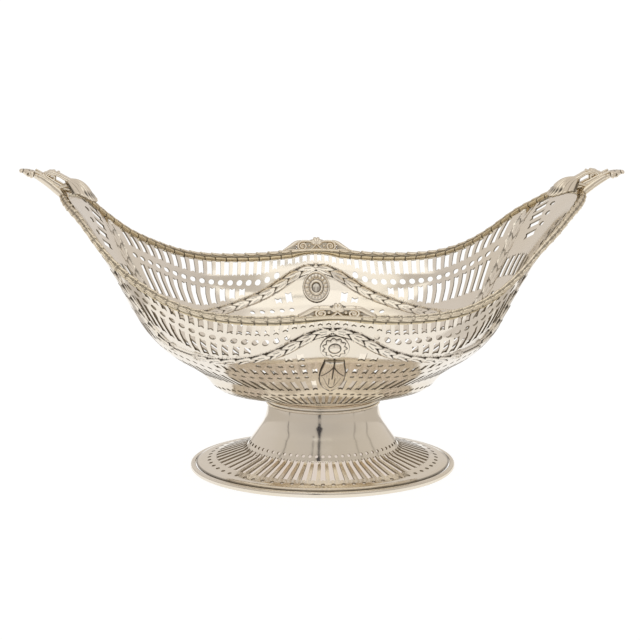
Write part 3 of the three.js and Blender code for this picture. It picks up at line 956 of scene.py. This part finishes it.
def grid_quads(wide, tall):
    number = np.arange(wide * tall).reshape(wide, tall)
    return np.stack([number[:-1, :-1], number[1:, :-1], number[1:, 1:], number[:-1, 1:]], -1).reshape(-1, 4)


def slab(top, under, ink, underside_shade, quads):
    """A closed plate between two matching grids of points, over the quads of its top. Its underside takes a
    painted shade, which darkens its side walls towards it.
    """
    used, quads = compact(ink.size, quads)
    count = len(used)
    a, b = open_edges(quads).T
    walls = np.stack([b, a, a + count, b + count], -1)
    points = np.vstack([top.reshape(-1, 3)[used], under.reshape(-1, 3)[used]])
    shade = np.concatenate([ink.ravel()[used], np.full(count, underside_shade)])
    return points, np.vstack([quads, quads[:, ::-1] + count, walls]), shade


def casting(name, parts, place, band):
    """Joins the parts of a casting, which place maps into the basket, with its stretch of border."""
    placed = []
    for points, polygons, ink in parts:
        points, mirrored = place(points)
        polygons = [polygon[::-1] for polygon in polygons] if mirrored else polygons
        placed.append((points, polygons, ink, np.zeros(len(points))))
    placed.append(band)
    joined = []
    start = 0
    for points, polygons, _, _ in placed:
        joined += [np.add(polygon, start) for polygon in polygons]
        start += len(points)
    points, _, inks, gilts = zip(*placed)
    ink, gilt = np.concatenate(inks), np.concatenate(gilts)
    return make_object(name, np.vstack(points), joined, CAST_SILVER, ink, gilt)


# Crest: two volutes beside a palmette over a pointed arch, standing on the rim and leaning out

CREST_LEAN = math.radians(34)
CREST_Y_INSET = 0.5
CREST_LIFT = 0.4
CREST_SHIFTS = {1: 0.8, -1: 2.0}
PETAL_TURNS = np.radians([-66, -40, -13.5, 13.5, 40, 66])


def crest_half(side):
    """A volute with its stalk and boss, the long tail and leaf beside it, and half of the arch."""

    def bar(line, half_in, half_side, ink=0.0):
        return swept(upright(line) * (side, 1, 1), half_in, half_side, ACROSS * side, ink=ink)

    scroll = np.vstack([
        spline([(1.2, 6.6), (3.4, 7.1), (6.0, 7.5)], 14), spiral((8.7, 4.2), 0.25, -1.6, 3.5, 0.8, 44)
    ])
    tail = spline([(8.4, 0.9), (11.2, 1.1), (15.0, 2.6), (19.6, 2.3)], 18)
    leaf = spline([(10.0, 8.2), (13.0, 7.0), (16.6, 4.7), (21.0, 2.6)], 18)
    return [
        bar(scroll, np.linspace(0.95, 0.7, len(scroll)), 1.5),
        ball((8.7 * side, 0, 4.2), (1.05, 1.8, 1.05)),
        bar(tail, np.linspace(1.2, 0.5, 18), np.linspace(1.6, 1.2, 18)),
        bar(leaf, 0.4 + 1.15 * np.sin(math.pi * np.linspace(0.05, 0.95, 18)), 1.2),
        bar(spline([(12.6, 3.6), (14.8, 3.9), (18.2, 2.9)], 12), 1.3, 1.0, 0.5),
        bar(spline([(6.8, 1.0), (3.9, 1.6), (1.7, 3.1), (0.1, 5.2)], 20), 0.7, 1.75),
        ball((4.6 * side, 0, 4.4), (1.0, 1.5, 1.2)),
    ]


def crest_petal(turn):
    reach = np.linspace(0, 1, 18)
    long = (5.4 - 1.5 * abs(turn)) * reach
    fat = 0.5 + 0.85 * np.sin(math.pi * reach**1.1 * 0.86) ** 0.8
    line = np.stack([np.sin(turn) * long, 5.0 + np.cos(turn) * long], -1)
    return swept(upright(line), fat, 0.5 + fat * 0.75)


def crest_plate():
    """The thin plate behind the ornament, painted dark as the shade that shows between its parts."""
    x, climb = np.meshgrid(np.linspace(-15.5, 15.5, 49), np.linspace(0, 1, 9), indexing="ij")
    tall = 1.6 + 6.6 * np.exp(-((x / 9.5) ** 4)) + 0.8 * bump(x, 0, 4)
    back = np.stack([x, np.full_like(x, 0.5), climb * tall], -1)[:, ::-1]
    return slab(back, back * (1, -1, 1), np.full(x.shape, 0.62), 0.5, grid_quads(*x.shape))


def crest_parts():
    """The crest in its own plane: x along the rim, y towards the viewer's side, z up the plate."""
    return crest_half(-1) + crest_half(1) + [crest_petal(turn) for turn in PETAL_TURNS] + [crest_plate()]


def crest_place(side):
    def place(points):
        x = points[:, 0] + CREST_SHIFTS[side]
        edge = rim_at(np.arccos(x / RIM_X))
        cos_l, sin_l = math.cos(CREST_LEAN), math.sin(CREST_LEAN)
        y = edge[:, 1] - CREST_Y_INSET + points[:, 1] * cos_l + points[:, 2] * sin_l
        z = edge[:, 2] + CREST_LIFT + points[:, 2] * cos_l - points[:, 1] * sin_l
        return np.stack([x, y * side, z], -1), side > 0

    return place


# Handles, as at the right end: x out from the lip, z up from it

LIP_Z = float(rim_height(RIM_X))
HANDLE_SINK = 0.5
HANDLE_SHORTER = 0.985
HANDLE_REACH = 25.0
RIGHT_DROOP = 2.2
SHELL_DROOPS = {1: 4.8, -1: 3.4}
SHELL_SPREAD = math.radians(64)
SHELL_REACH = 20.5
SHELL_SLOPE = math.radians(33)
SHELL_FLUTES = 11
SHELL_ROOT = (-1.2, 11.6)
SHELL_SHEET = 1.3


def handle_strap():
    """The strap that forks from the rim, with a rib along each edge."""
    strap = upright(spline([(-2.2, 0.6), (0.6, 2.6), (6.6, 7.7), (12.4, 12.0), (16.0, 14.0)], 50))
    w = np.linspace(0, 1, 50)
    wide = np.interp(w, [0, 0.16, 0.5, 0.8, 1], [9.0, 7.0, 4.8, 4.2, 3.0])
    thick = np.interp(w, [0, 0.3, 0.8, 1], [1.8, 2.5, 2.3, 1.8])
    ribs = [swept((strap + (0, 3.0 * edge, 2.3))[6:], 0.6, 0.9) for edge in (-1, 1)]
    return [swept(strap, thick, wide, sides=24, squareness=2.6)] + ribs


def handle_tip():
    """The lobed leaf at the end, with beads under it and a curl on each side."""
    w = np.linspace(0, 1, 80)
    tip = upright(spline([(12.2, 12.2), (16.0, 13.9), (20.2, 15.1), (24.4, 16.5)], 80))
    lobes = np.abs(np.cos(w * math.pi * 4))
    ripple = 0.78 + 0.22 * lobes**0.6
    wide = np.interp(w, [0, 0.25, 0.7, 0.93, 1], [3.2, 4.4, 3.5, 2.2, 0.9]) * ripple
    thick = np.interp(w, [0, 0.3, 0.65, 0.9, 1], [2.5, 2.2, 2.1, 1.5, 0.6]) * ripple
    edges = np.sin(np.arange(24) * TURN / 24)
    groove = 1 - 0.25 * bump(edges, 0, 0.25)
    ink = np.maximum(stroke(lobes, 0.2, 1.5, 0.9)[:, None], 0.7 * bump(edges, 0, 0.16))
    parts = [swept(tip, thick[:, None] * groove, wide, sides=24, ink=ink)]
    for x, z, r in ((13.4, 11.4, 1.4), (18.2, 13.0, 1.3), (24.0, 16.0, 1.25)):
        parts.append(ball((x, 0, z), (r, r * 2.2, r), 0.1))
    curl = spiral((19.6, 15.0), 0.6, 1.1, 1.7, 0.6, 22)
    return parts + [swept(upright(curl, 3.4 * edge), 0.55, 0.7) for edge in (-1, 1)]


def handle_scroll():
    """The scroll with its eye, the rails above and below the opening, beads and a leaf on each side."""
    rail = spline([(-6.5, 8.4), (-4.2, 9.8), (-1.4, 11.5), (1.8, 13.3)], 26)
    path = upright(np.vstack([rail, spiral((6.9, 12.4), 0.4, -1.3, 3.3, 1.75, 46)[5:]]))
    count = len(path)
    low_rail = spline([(-8.5, 4.0), (-5.0, 4.8), (-0.5, 6.2), (4.0, 8.7), (8.4, 11.8), (12.0, 13.8)], 46)
    parts = [
        swept(path, np.linspace(1.35, 1.0, count), np.linspace(3.6, 2.6, count), sides=18, squareness=2.8),
        swept(upright(low_rail), np.linspace(2.2, 1.5, 46), 3.3, sides=18, squareness=2.8),
        ball((-5.6, 0, 7.2), (2.0, 3.2, 2.6), 0.2),
    ]
    for x, z, r in ((5.4, 15.6, 1.4), (2.6, 14.9, 1.1), (9.8, 14.6, 1.4), (12.6, 14.6, 1.1)):
        parts.append(ball((x, 0, z), (r, 2.9, r * 0.8)))
    leaf = spline([(-9, 5.2), (-4, 7.6), (0, 7.0), (4, 6.4), (8.5, 9.6)], 40)
    swell = 0.5 + 0.5 * np.sin(math.pi * np.linspace(0, 78 / 79, 40))
    return parts + [swept(upright(leaf, 3.4 * edge), swell, 0.8) for edge in (-1, 1)]


def shell_part():
    """A fan of flutes that dips into the bowl from the foot of the scroll."""
    turn, reach = np.meshgrid(
        np.linspace(-SHELL_SPREAD, SHELL_SPREAD, 155), np.linspace(0.1, 1, 30), indexing="ij"
    )
    wave = np.abs(np.cos(turn / SHELL_SPREAD * SHELL_FLUTES / 2 * math.pi))
    radius = SHELL_REACH * reach * (1 - 0.1 * (1 - wave) * reach)
    hollow = bump(reach, 0.84, 0.1) * np.clip(1.3 * wave - 0.3, 0, 1) * (np.abs(turn) < 0.7)
    height = 1.5 * wave**0.7 * reach + 3.4 * (1 - (turn / SHELL_SPREAD) ** 2) * np.sin(math.pi * reach * 0.85)
    height = height - 2.2 * np.sin(turn) ** 2 * reach - 0.7 * hollow
    # Ink: the lines of the flutes, and painted shade in the hollows near the edge
    ink = np.maximum(stroke(wave, 0.3, 1.1, 0.75) * np.clip(reach * 2, 0, 1), hollow * 0.85)
    away = radius * np.cos(turn)
    side = radius * np.sin(turn)
    cos_s, sin_s = math.cos(SHELL_SLOPE), math.sin(SHELL_SLOPE)

    def laid(lift):
        x = SHELL_ROOT[0] - away * cos_s - lift * sin_s
        z = SHELL_ROOT[1] - away * sin_s + lift * cos_s
        return np.stack([x, side, z], -1)

    return slab(laid(height), laid(height - SHELL_SHEET), ink, 0.5, grid_quads(*turn.shape))


def handle_place(side):
    """Places a handle. The right one is bent down a little at its tip, and the shells droop."""

    def place(points):
        moved = points * (HANDLE_SHORTER, 1, 1) + (RIM_X, 0, LIP_Z - HANDLE_SINK)
        if side > 0:
            moved[:, 2] -= RIGHT_DROOP * np.clip(points[:, 0] / HANDLE_REACH, 0, 1)
        moved[:, 2] -= SHELL_DROOPS[side] * np.clip((2 - points[:, 0]) / 16, 0, 1.3)
        return moved * (side, 1, 1), side < 0

    return place


# Patera, pendant and medallion: small reliefs laid on the bowl's wall

PATERA_CLIMB = 0.771
PATERA_RADIUS = 7.9
PENDANT_CLIMB = 0.463
PENDANT_HALF_WIDE = 7.9
PENDANT_HALF_TALL = 18.2
PENDANT_WIDTHS = [(0, 0.58), (0.15, 0.68), (0.3, 0.82), (0.5, 0.95), (0.66, 1), (0.8, 0.93), (0.9, 0.74),
                  (0.96, 0.48), (1, 0.1)]
MEDALLION_CLIMB = 0.757
MEDALLION_HALF_WIDE = 8.2
MEDALLION_HALF_TALL = 10.8
ORNAMENT_SHIFT = 1.4
RELIEF_GRAIN = 0.3
RELIEF_SUNK = 0.35


def laid_relief(name, side, outside, climb, half_wide, half_tall, height_at):
    """A cushion of relief on the wall at the middle of a side. height_at gives millimetres and ink."""
    shape = (int(2 * half_wide / RELIEF_GRAIN), int(2 * half_tall / RELIEF_GRAIN))
    x, y = np.meshgrid(
        np.linspace(-half_wide, half_wide, shape[0]), np.linspace(-half_tall, half_tall, shape[1]),
        indexing="ij",
    )
    height, ink = height_at(x, y)
    share = QUARTER - (x + ORNAMENT_SHIFT * (side < 0)) / round_at(climb)
    wall = climb + y / tall_at(QUARTER)
    point = bowl_at(share, wall)
    normal = face_normal(bowl_at, share, wall)
    if not outside:
        point = point - normal * SHEET
        normal = -normal
    top = (point + normal * height[..., None]) * (1, side, 1)
    under = (point - normal * RELIEF_SUNK) * (1, side, 1)
    quads = grid_quads(*shape)
    quads = quads[(height.ravel() > 0)[quads].all(1)]
    # Shares fall as x grows, so the grid faces inwards, and it is mirrored at the front
    if outside == (side > 0):
        quads = quads[:, ::-1]
    points, polygons, shade = slab(top, under, ink, 0.6, quads)
    return make_object(name, points, polygons, BOWL_SILVER, shade)


def rosette_height(x, y):
    """Pointed petals round a boss, inside a plain rim."""
    r = np.hypot(x, y) / PATERA_RADIUS
    tooth = np.abs(np.mod(np.arctan2(y, x) / TURN * 11, 1) * 2 - 1)
    star = 0.66 + 0.18 * tooth
    petal = np.clip((star - r) / 0.12, 0, 1)
    height = 0.4 + 0.5 * ridge(r, 0.93, 0.09) + 0.55 * petal + 1.2 * dome(r / 0.36)
    lines = [stroke(r - star, 0.045, 1.3), stroke(r - 0.4, 0.05, 1.2), stroke(1 - r, 0.05, 1.3)]
    return np.where(r < 1, height, -1), np.maximum.reduce(lines)


def pendant_width(v):
    return PENDANT_HALF_WIDE * np.interp(v, *zip(*PENDANT_WIDTHS))


def pendant_height(x, y):
    """A husk: an egg of relief with a rib from its top, two leaves that curl off it and a rim in its foot."""
    v = (PENDANT_HALF_TALL - y) / (2 * PENDANT_HALF_TALL)
    x = np.abs(x)
    width = pendant_width(v)
    share = x / np.maximum(width, 1e-3)
    curl = PENDANT_HALF_WIDE * 0.86 * np.clip((v - 0.06) / 0.42, 0, 1) ** 1.8
    cup_half = 0.62 * PENDANT_HALF_WIDE
    cup = 0.84 - 0.34 * (x / cup_half) ** 2
    lines = [
        stroke(width - x, 0.6 + 0.6 * np.clip((v - 0.5) / 0.25, 0, 1), 1.5),
        (x > pendant_width(np.clip(v + 0.06, 0, 1))) * (v > 0.66),
        stroke(x, 0.34, 1.5) * (v < 0.55),
        stroke(x - curl, 0.36, 1.4) * (v > 0.1) * (v < 0.46),
        stroke(v - cup, 0.018, 1.4) * (x < cup_half),
        stroke(x - 1.7, 0.3, 1.2) * (v > 0.5) * (v < 0.74),
    ]
    inside = (share < 1) & (v > 0) & (v < 1)
    return np.where(inside, 0.3 + 1.7 * dome(share), -1), np.maximum.reduce(lines)


def medallion_height(x, y):
    """An oval of beads round a ring with a hollow in it."""
    across, up = x / MEDALLION_HALF_WIDE, y / MEDALLION_HALF_TALL
    r = np.hypot(across, up)
    bead = np.abs(np.sin(9 * np.arctan2(up, across)))
    height = 0.5 + 0.5 * ridge(r, 0.93, 0.07) + 0.75 * ridge(r, 0.7, 0.13) * bead
    height = height + 0.8 * ridge(r, 0.4, 0.1) + 0.5 * ridge(r, 0, 0.26)
    lines = [
        0.8 * stroke(r - 0.84, 0.04), stroke(r - 0.53, 0.045), stroke(r - 0.29, 0.06), 0.36 * (r < 0.26),
        0.8 * stroke(bead, 0.4) * (np.abs(r - 0.7) < 0.12), stroke(1 - r, 0.05),
    ]
    return np.where(r < 1, height, -1), np.maximum.reduce(lines)


# Materials

# Dark of the ink: chased lines, and painted shade in creases, hollows and undersides
INK_COLOR = (0.055, 0.042, 0.028, 1)


def node_material(name):
    """A material without nodes, and its tree."""
    material = bpy.data.materials.new(name)
    material.use_nodes = True
    material.node_tree.nodes.clear()
    return material, material.node_tree


def add(tree, kind, inputs, output=0, **settings):
    """Adds a node and returns one of its outputs. An input is a value or the output that feeds it."""
    node = tree.nodes.new("ShaderNode" + kind)
    for word, value in settings.items():
        setattr(node, word, value)
    for word, value in inputs.items():
        if isinstance(value, bpy.types.NodeSocket):
            tree.links.new(value, node.inputs[word])
        else:
            node.inputs[word].default_value = value
    return node.outputs[output] if len(node.outputs) else node


def silver_color(tree, color, drift):
    """Silver that is warmer in drifts and where it is gilt, and dark where the ink marks chased lines and
    painted shade.
    """
    warm = (color[0] * 0.86, color[1] * 0.78, color[2] * 0.55, 1)
    drifts = {"Value": drift, "From Min": 0.35, "From Max": 0.8, "To Max": 0.35}
    spread = add(tree, "MapRange", drifts, "Result")
    gilt = add(tree, "Attribute", {}, "Fac", attribute_name="gilt")
    share = add(tree, "Math", {0: spread, 1: gilt}, operation="ADD", use_clamp=True)
    tint = add(tree, "Mix", {"Factor": share, "A": (*color, 1), "B": warm}, "Result", data_type="RGBA")
    ink = add(tree, "Attribute", {}, "Fac", attribute_name="ink")
    lines = add(tree, "MapRange", {"Value": ink, "From Min": 0.15, "From Max": 0.75}, "Result")
    return add(tree, "Mix", {"Factor": lines, "A": tint, "B": INK_COLOR}, "Result", data_type="RGBA")


def silver(name, color, roughness):
    """Polished silver: soft wear marks, dark ink on chased lines and painted shade, and a warm tint that
    drifts.
    """
    material, tree = node_material(name)
    place = add(tree, "TexCoord", {}, "Object")
    drift = add(tree, "TexNoise", {"Vector": place, "Scale": 18.0, "Detail": 4.0}, "Fac")
    rub = add(tree, "TexNoise", {"Vector": place, "Scale": 160.0, "Detail": 6.0}, "Fac")
    worn = {"Value": rub, "To Min": roughness * 0.75, "To Max": roughness * 1.35}
    dents = add(tree, "Bump", {"Height": drift, "Strength": 0.05, "Distance": 0.0004}, "Normal")
    metal = add(tree, "BsdfPrincipled", {
        "Metallic": 1.0, "Base Color": silver_color(tree, color, drift), "Normal": dents,
        "Roughness": add(tree, "MapRange", worn, "Result"),
    })
    add(tree, "OutputMaterial", {"Surface": metal})
    return material


BOWL_SILVER = silver("bowl_silver_finish", (0.86, 0.797, 0.705), 0.14)
FOOT_SILVER = silver("foot_silver_finish", (0.83, 0.765, 0.665), 0.1)
WIRE_SILVER = silver("wire_silver_finish", (0.83, 0.765, 0.665), 0.15)
CAST_SILVER = silver("cast_silver_finish", (0.80, 0.72, 0.60), 0.2)
# Dark silver for the walls of the piercing: painted shade on the cut edges
CUT_WALL_SHADE_SILVER = silver("cut_edge_painted_shade", (0.30, 0.26, 0.20), 0.42)


# The basket


def dress(obj, node):
    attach(obj, "root")
    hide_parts(node)


ORNAMENTS = (
    # name, outside, climb, half width, half height, relief
    ("rosette", True, PATERA_CLIMB, PATERA_RADIUS, PATERA_RADIUS, rosette_height),
    ("husk", True, PENDANT_CLIMB, PENDANT_HALF_WIDE, PENDANT_HALF_TALL, pendant_height),
    ("medallion", False, MEDALLION_CLIMB, MEDALLION_HALF_WIDE, MEDALLION_HALF_TALL, medallion_height),
)
RELIEF_MARGIN = 1.02
LONG_SIDES = ((1, "back", 0.5 * math.pi), (-1, "front", 1.5 * math.pi))
ENDS = ((1, "right", 0.0), (-1, "left", math.pi))
END_ANGLE = math.acos((RIM_X - ARM_INSET) / RIM_X)
CREST_ANGLE = math.acos((CREST_HALF + SEAM) / RIM_X)


def make_basket():
    dress(make_bowl(), "bowl")
    dress(make_foot(), "foot")
    dress(make_foot_wire(), "foot_rim_wire")
    dress(make_stem_ring(), "stem_ring")
    for where, start, stop in (
        ("back_right", END_ANGLE, CREST_ANGLE),
        ("back_left", math.pi - CREST_ANGLE, math.pi - END_ANGLE),
        ("front_left", math.pi + END_ANGLE, math.pi + CREST_ANGLE),
        ("front_right", TURN - CREST_ANGLE, TURN - END_ANGLE),
    ):
        dress(make_border(f"laurel_{where}", start, stop), f"border_{where}")
    for side, word, _ in LONG_SIDES:
        for name, outside, climb, half_wide, half_tall, relief in ORNAMENTS:
            size = (half_wide * RELIEF_MARGIN, half_tall * RELIEF_MARGIN)
            dress(laid_relief(f"{name}_{word}", side, outside, climb, *size, relief), "bowl")
    for side, word, middle in LONG_SIDES:
        reach = math.pi / 2 - CREST_ANGLE
        depth = 0.35 + 0.65 * np.linspace(-1, 1, 90) ** 2
        angles = np.linspace(middle - reach, middle + reach, 90)
        band = border_part(angles, np.full(90, 0.5 * BORDER_PERIOD), depth)
        crest = casting(f"crest_cast_{word}", crest_parts(), crest_place(side), band)
        dress(crest, f"crest_{word}")
    handle_parts = handle_strap() + handle_tip() + handle_scroll() + [shell_part()]
    for side, word, middle in ENDS:
        angles = np.linspace(middle - END_ANGLE, middle + END_ANGLE, 160)
        band = border_part(angles, np.linspace(0, 6 * BORDER_PERIOD, 160))
        handle = casting(f"handle_cast_{word}", handle_parts, handle_place(side), band)
        dress(handle, f"handle_{word}")


# Studio, in metres: azimuths are degrees round the basket from the front, and elevations degrees up

TENT_GREY = (0.735, 0.70, 0.675)
TENT_RADIUS = 3.0
FLOOR_HALF = 4.0
FLOOR_STRENGTH = 1.15
FLOOR_SHOWN_WHITE = 0.78
# Painted shadow on the floor under the foot, fading out between these oval reaches
PAINTED_SHADOW_UNDER_FOOT = (0.74, 0.65, 0.575, 1)
UNDER_FOOT_FROM = 0.066
UNDER_FOOT_TO = 0.076
STAND_DISTANCE = 0.48
STAND_BASE = 0.036
STANDS = (
    # name, azimuth, half widths in degrees at elevations seen from the stem, colour
    (
        "camera_shape", -6.5, ((-7, 2.6), (0, 2.6), (3, 1.7), (9, 5.0), (24, 3.0), (47, 0.8)),
        (0.04, 0.04, 0.05),
    ),
    ("left_stand", -61, ((-6, 1.0), (15, 1.0), (38, 0.9)), (0.2, 0.19, 0.18)),
    ("right_stand", 52, ((-6, 0.9), (15, 1.6), (38, 0.8)), (0.4, 0.38, 0.36)),
    ("far_stand", 79, ((-6, 1.4), (15, 1.6), (38, 1.0)), (0.42, 0.4, 0.38)),
)
SOFT_BOX = ((-0.245, -0.3, 0.3), (-0.07, -0.17, 0.17), (0.055, -0.05, 0.05))
GREY_PAPER = ((-0.36, 0.14, 0.5), (0.06, 0.14, 0.5))
BOOM = ((0.007, -0.009, 0.398), (-0.07, -0.247, 0.398), (-0.07, -0.247, 0.2))
TABLE_RADIUS = 0.222
TABLE_EDGE_TALL = 0.036


def around(azimuth, distance, height):
    turn = math.radians(azimuth)
    return distance * math.sin(turn), -distance * math.cos(turn), height


def plain_object(name, points, quads, material):
    mesh = bpy.data.meshes.new(name)
    mesh.from_pydata(points, [], quads)
    mesh.materials.append(material)
    obj = bpy.data.objects.new(name, mesh)
    bpy.context.scene.collection.objects.link(obj)
    return obj


def glow(name, color, shade=None):
    """A plain glowing cloth or card. shade names the attribute with its strength."""
    material, tree = node_material(name)
    strength = 1.0 if shade is None else add(tree, "Attribute", {}, "Fac", attribute_name=shade)
    light = add(tree, "Emission", {"Color": (*color, 1), "Strength": strength})
    add(tree, "OutputMaterial", {"Surface": light})
    return material


def floor_material():
    """White in view and in reflections, with a little of the object's shadow, and a painted shadow under the
    foot.
    """
    material, tree = node_material("floor_white")
    place = add(tree, "TexCoord", {}, "Object")
    oval = add(tree, "VectorMath", {0: place, 1: (1, 1 / FOOT_NARROW, 1)}, "Vector", operation="MULTIPLY")
    reach = add(tree, "VectorMath", {0: oval}, "Value", operation="LENGTH")
    edge = {"Value": reach, "From Min": UNDER_FOOT_FROM, "From Max": UNDER_FOOT_TO}
    outside = add(tree, "MapRange", edge, "Result")
    tones = {"Factor": outside, "A": PAINTED_SHADOW_UNDER_FOOT, "B": (1, 1, 1, 1)}
    tone = add(tree, "Mix", tones, "Result", data_type="RGBA")
    white = add(tree, "Emission", {"Color": tone, "Strength": FLOOR_STRENGTH})
    matt = add(tree, "BsdfDiffuse", {"Color": (0.9, 0.9, 0.9, 1)})
    shown = add(tree, "LightPath", {}, "Is Camera Ray")
    for ray in ("Is Glossy Ray", "Is Transmission Ray"):
        shown = add(tree, "Math", {0: shown, 1: add(tree, "LightPath", {}, ray)}, operation="MAXIMUM")
    share = add(tree, "Math", {0: shown, 1: FLOOR_SHOWN_WHITE}, operation="MULTIPLY")
    add(tree, "OutputMaterial", {"Surface": add(tree, "MixShader", {"Fac": share, 1: matt, 2: white})})
    return material


def studio_strip(name, points, color):
    """A strip of quads between pairs of points, which only reflections see."""
    quads = [(2 * k, 2 * k + 1, 2 * k + 3, 2 * k + 2) for k in range(len(points) // 2 - 1)]
    strip = plain_object(name, points, quads, glow(name, color))
    strip.visible_camera = False
    strip.visible_shadow = False
    strip.visible_diffuse = False


def level_sheet(name, rows, height, color):
    """A level strip. Each row is its place from front to back and its two ends."""
    studio_strip(name, [(x, y, height) for y, left, right in rows for x in (left, right)], color)


def make_stand(name, azimuth, widths, color):
    """A thin upright dark shape."""
    points = []
    for elevation, half in widths:
        rise = max(STAND_BASE + STAND_DISTANCE * math.tan(math.radians(elevation)), 0.001)
        points += [around(azimuth + side * half, STAND_DISTANCE, rise) for side in (-1, 1)]
    studio_strip(name, points, color)


def make_table_edge():
    """The edge of the table's white paper, where reflections near the level turn grey."""
    heights = (0.0005, TABLE_EDGE_TALL)
    points = [around(azimuth, TABLE_RADIUS, height) for azimuth in range(-150, 151, 5) for height in heights]
    studio_strip("table_edge", points, (0.6, 0.565, 0.535))


def tent_shade(azimuth, elevation):
    """The cloth is darker low in front, where the room behind the camera shows."""
    return 1.0 - 0.23 * math.exp(-((azimuth / 80) ** 2)) * math.exp(-((elevation / 52) ** 4))


def make_tent():
    """Grey cloth all round and overhead."""
    azimuths = range(-180, 181, 6)
    places = [(a, e) for e in range(-2, 91, 4) for a in azimuths]
    points = []
    for azimuth, elevation in places:
        rise = math.radians(elevation)
        points.append(around(azimuth, TENT_RADIUS * math.cos(rise), TENT_RADIUS * math.sin(rise)))
    wide = len(azimuths)
    quads = [
        (k, k + 1, k + wide + 1, k + wide) for k in range(len(points) - wide) if (k + 1) % wide
    ]
    tent = plain_object("tent", points, quads, glow("tent", TENT_GREY, "shade"))
    shades = tent.data.attributes.new("shade", "FLOAT", "POINT")
    shades.data.foreach_set("value", [tent_shade(azimuth, elevation) for azimuth, elevation in places])
    tent.visible_camera = False
    tent.visible_shadow = False


def make_studio():
    world = bpy.data.worlds.new("studio")
    bpy.context.scene.world = world
    world.use_nodes = True
    background = world.node_tree.nodes["Background"]
    background.inputs["Color"].default_value = (1, 1, 1, 1)
    background.inputs["Strength"].default_value = 1.0
    half = FLOOR_HALF
    corners = [(-half, -half, 0), (half, -half, 0), (half, half, 0), (-half, half, 0)]
    floor = plain_object("floor", corners, [(0, 1, 2, 3)], floor_material())
    make_tent()
    level_sheet("soft_box", SOFT_BOX, 0.4, (1.16, 1.15, 1.125))
    level_sheet("grey_paper", GREY_PAPER, 0.001, (0.7, 0.67, 0.64))
    white_flag = [(x, -0.165, z) for z in (0.15, 0.33) for x in (-0.05, 0.036)]
    studio_strip("white_flag", white_flag, (1.1, 1.09, 1.07))
    make_table_edge()
    for name, azimuth, widths, color in STANDS:
        make_stand(name, azimuth, widths, color)
    boom = [(x + side, y, z) for x, y, z in BOOM for side in (-0.005, 0.005)]
    studio_strip("boom", boom, (0.2, 0.195, 0.19))


# Camera

CAMERA_AZIMUTH = math.radians(-3.362)
CAMERA_ELEVATION = math.radians(13.359)
CAMERA_ROLL = math.radians(-0.306)
CAMERA_DISTANCE = 1.2
CAMERA_TARGET = Vector((-0.00209, 0.0, 0.089343))
FOCAL_PIXELS = 2045.869
FRAME_PIXELS = 640
SENSOR_WIDTH = 36.0


def make_camera():
    sin_a, cos_a = math.sin(CAMERA_AZIMUTH), math.cos(CAMERA_AZIMUTH)
    sin_e, cos_e = math.sin(CAMERA_ELEVATION), math.cos(CAMERA_ELEVATION)
    back = Vector((sin_a * cos_e, -cos_a * cos_e, sin_e))
    right = Vector((cos_a, sin_a, 0))
    up = back.cross(right)
    cos_r, sin_r = math.cos(CAMERA_ROLL), math.sin(CAMERA_ROLL)
    turned_right = right * cos_r - up * sin_r
    turned_up = right * sin_r + up * cos_r
    data = bpy.data.cameras.new("photo_camera")
    data.sensor_width = SENSOR_WIDTH
    data.lens = FOCAL_PIXELS / FRAME_PIXELS * SENSOR_WIDTH
    camera = bpy.data.objects.new("photo_camera", data)
    bpy.context.scene.collection.objects.link(camera)
    basis = Matrix((turned_right, turned_up, back)).transposed().to_4x4()
    basis.translation = CAMERA_TARGET + back * CAMERA_DISTANCE
    camera.matrix_world = basis
    bpy.context.scene.camera = camera


make_basket()
make_studio()
make_camera()
bpy.context.scene.view_settings.view_transform = "Standard"
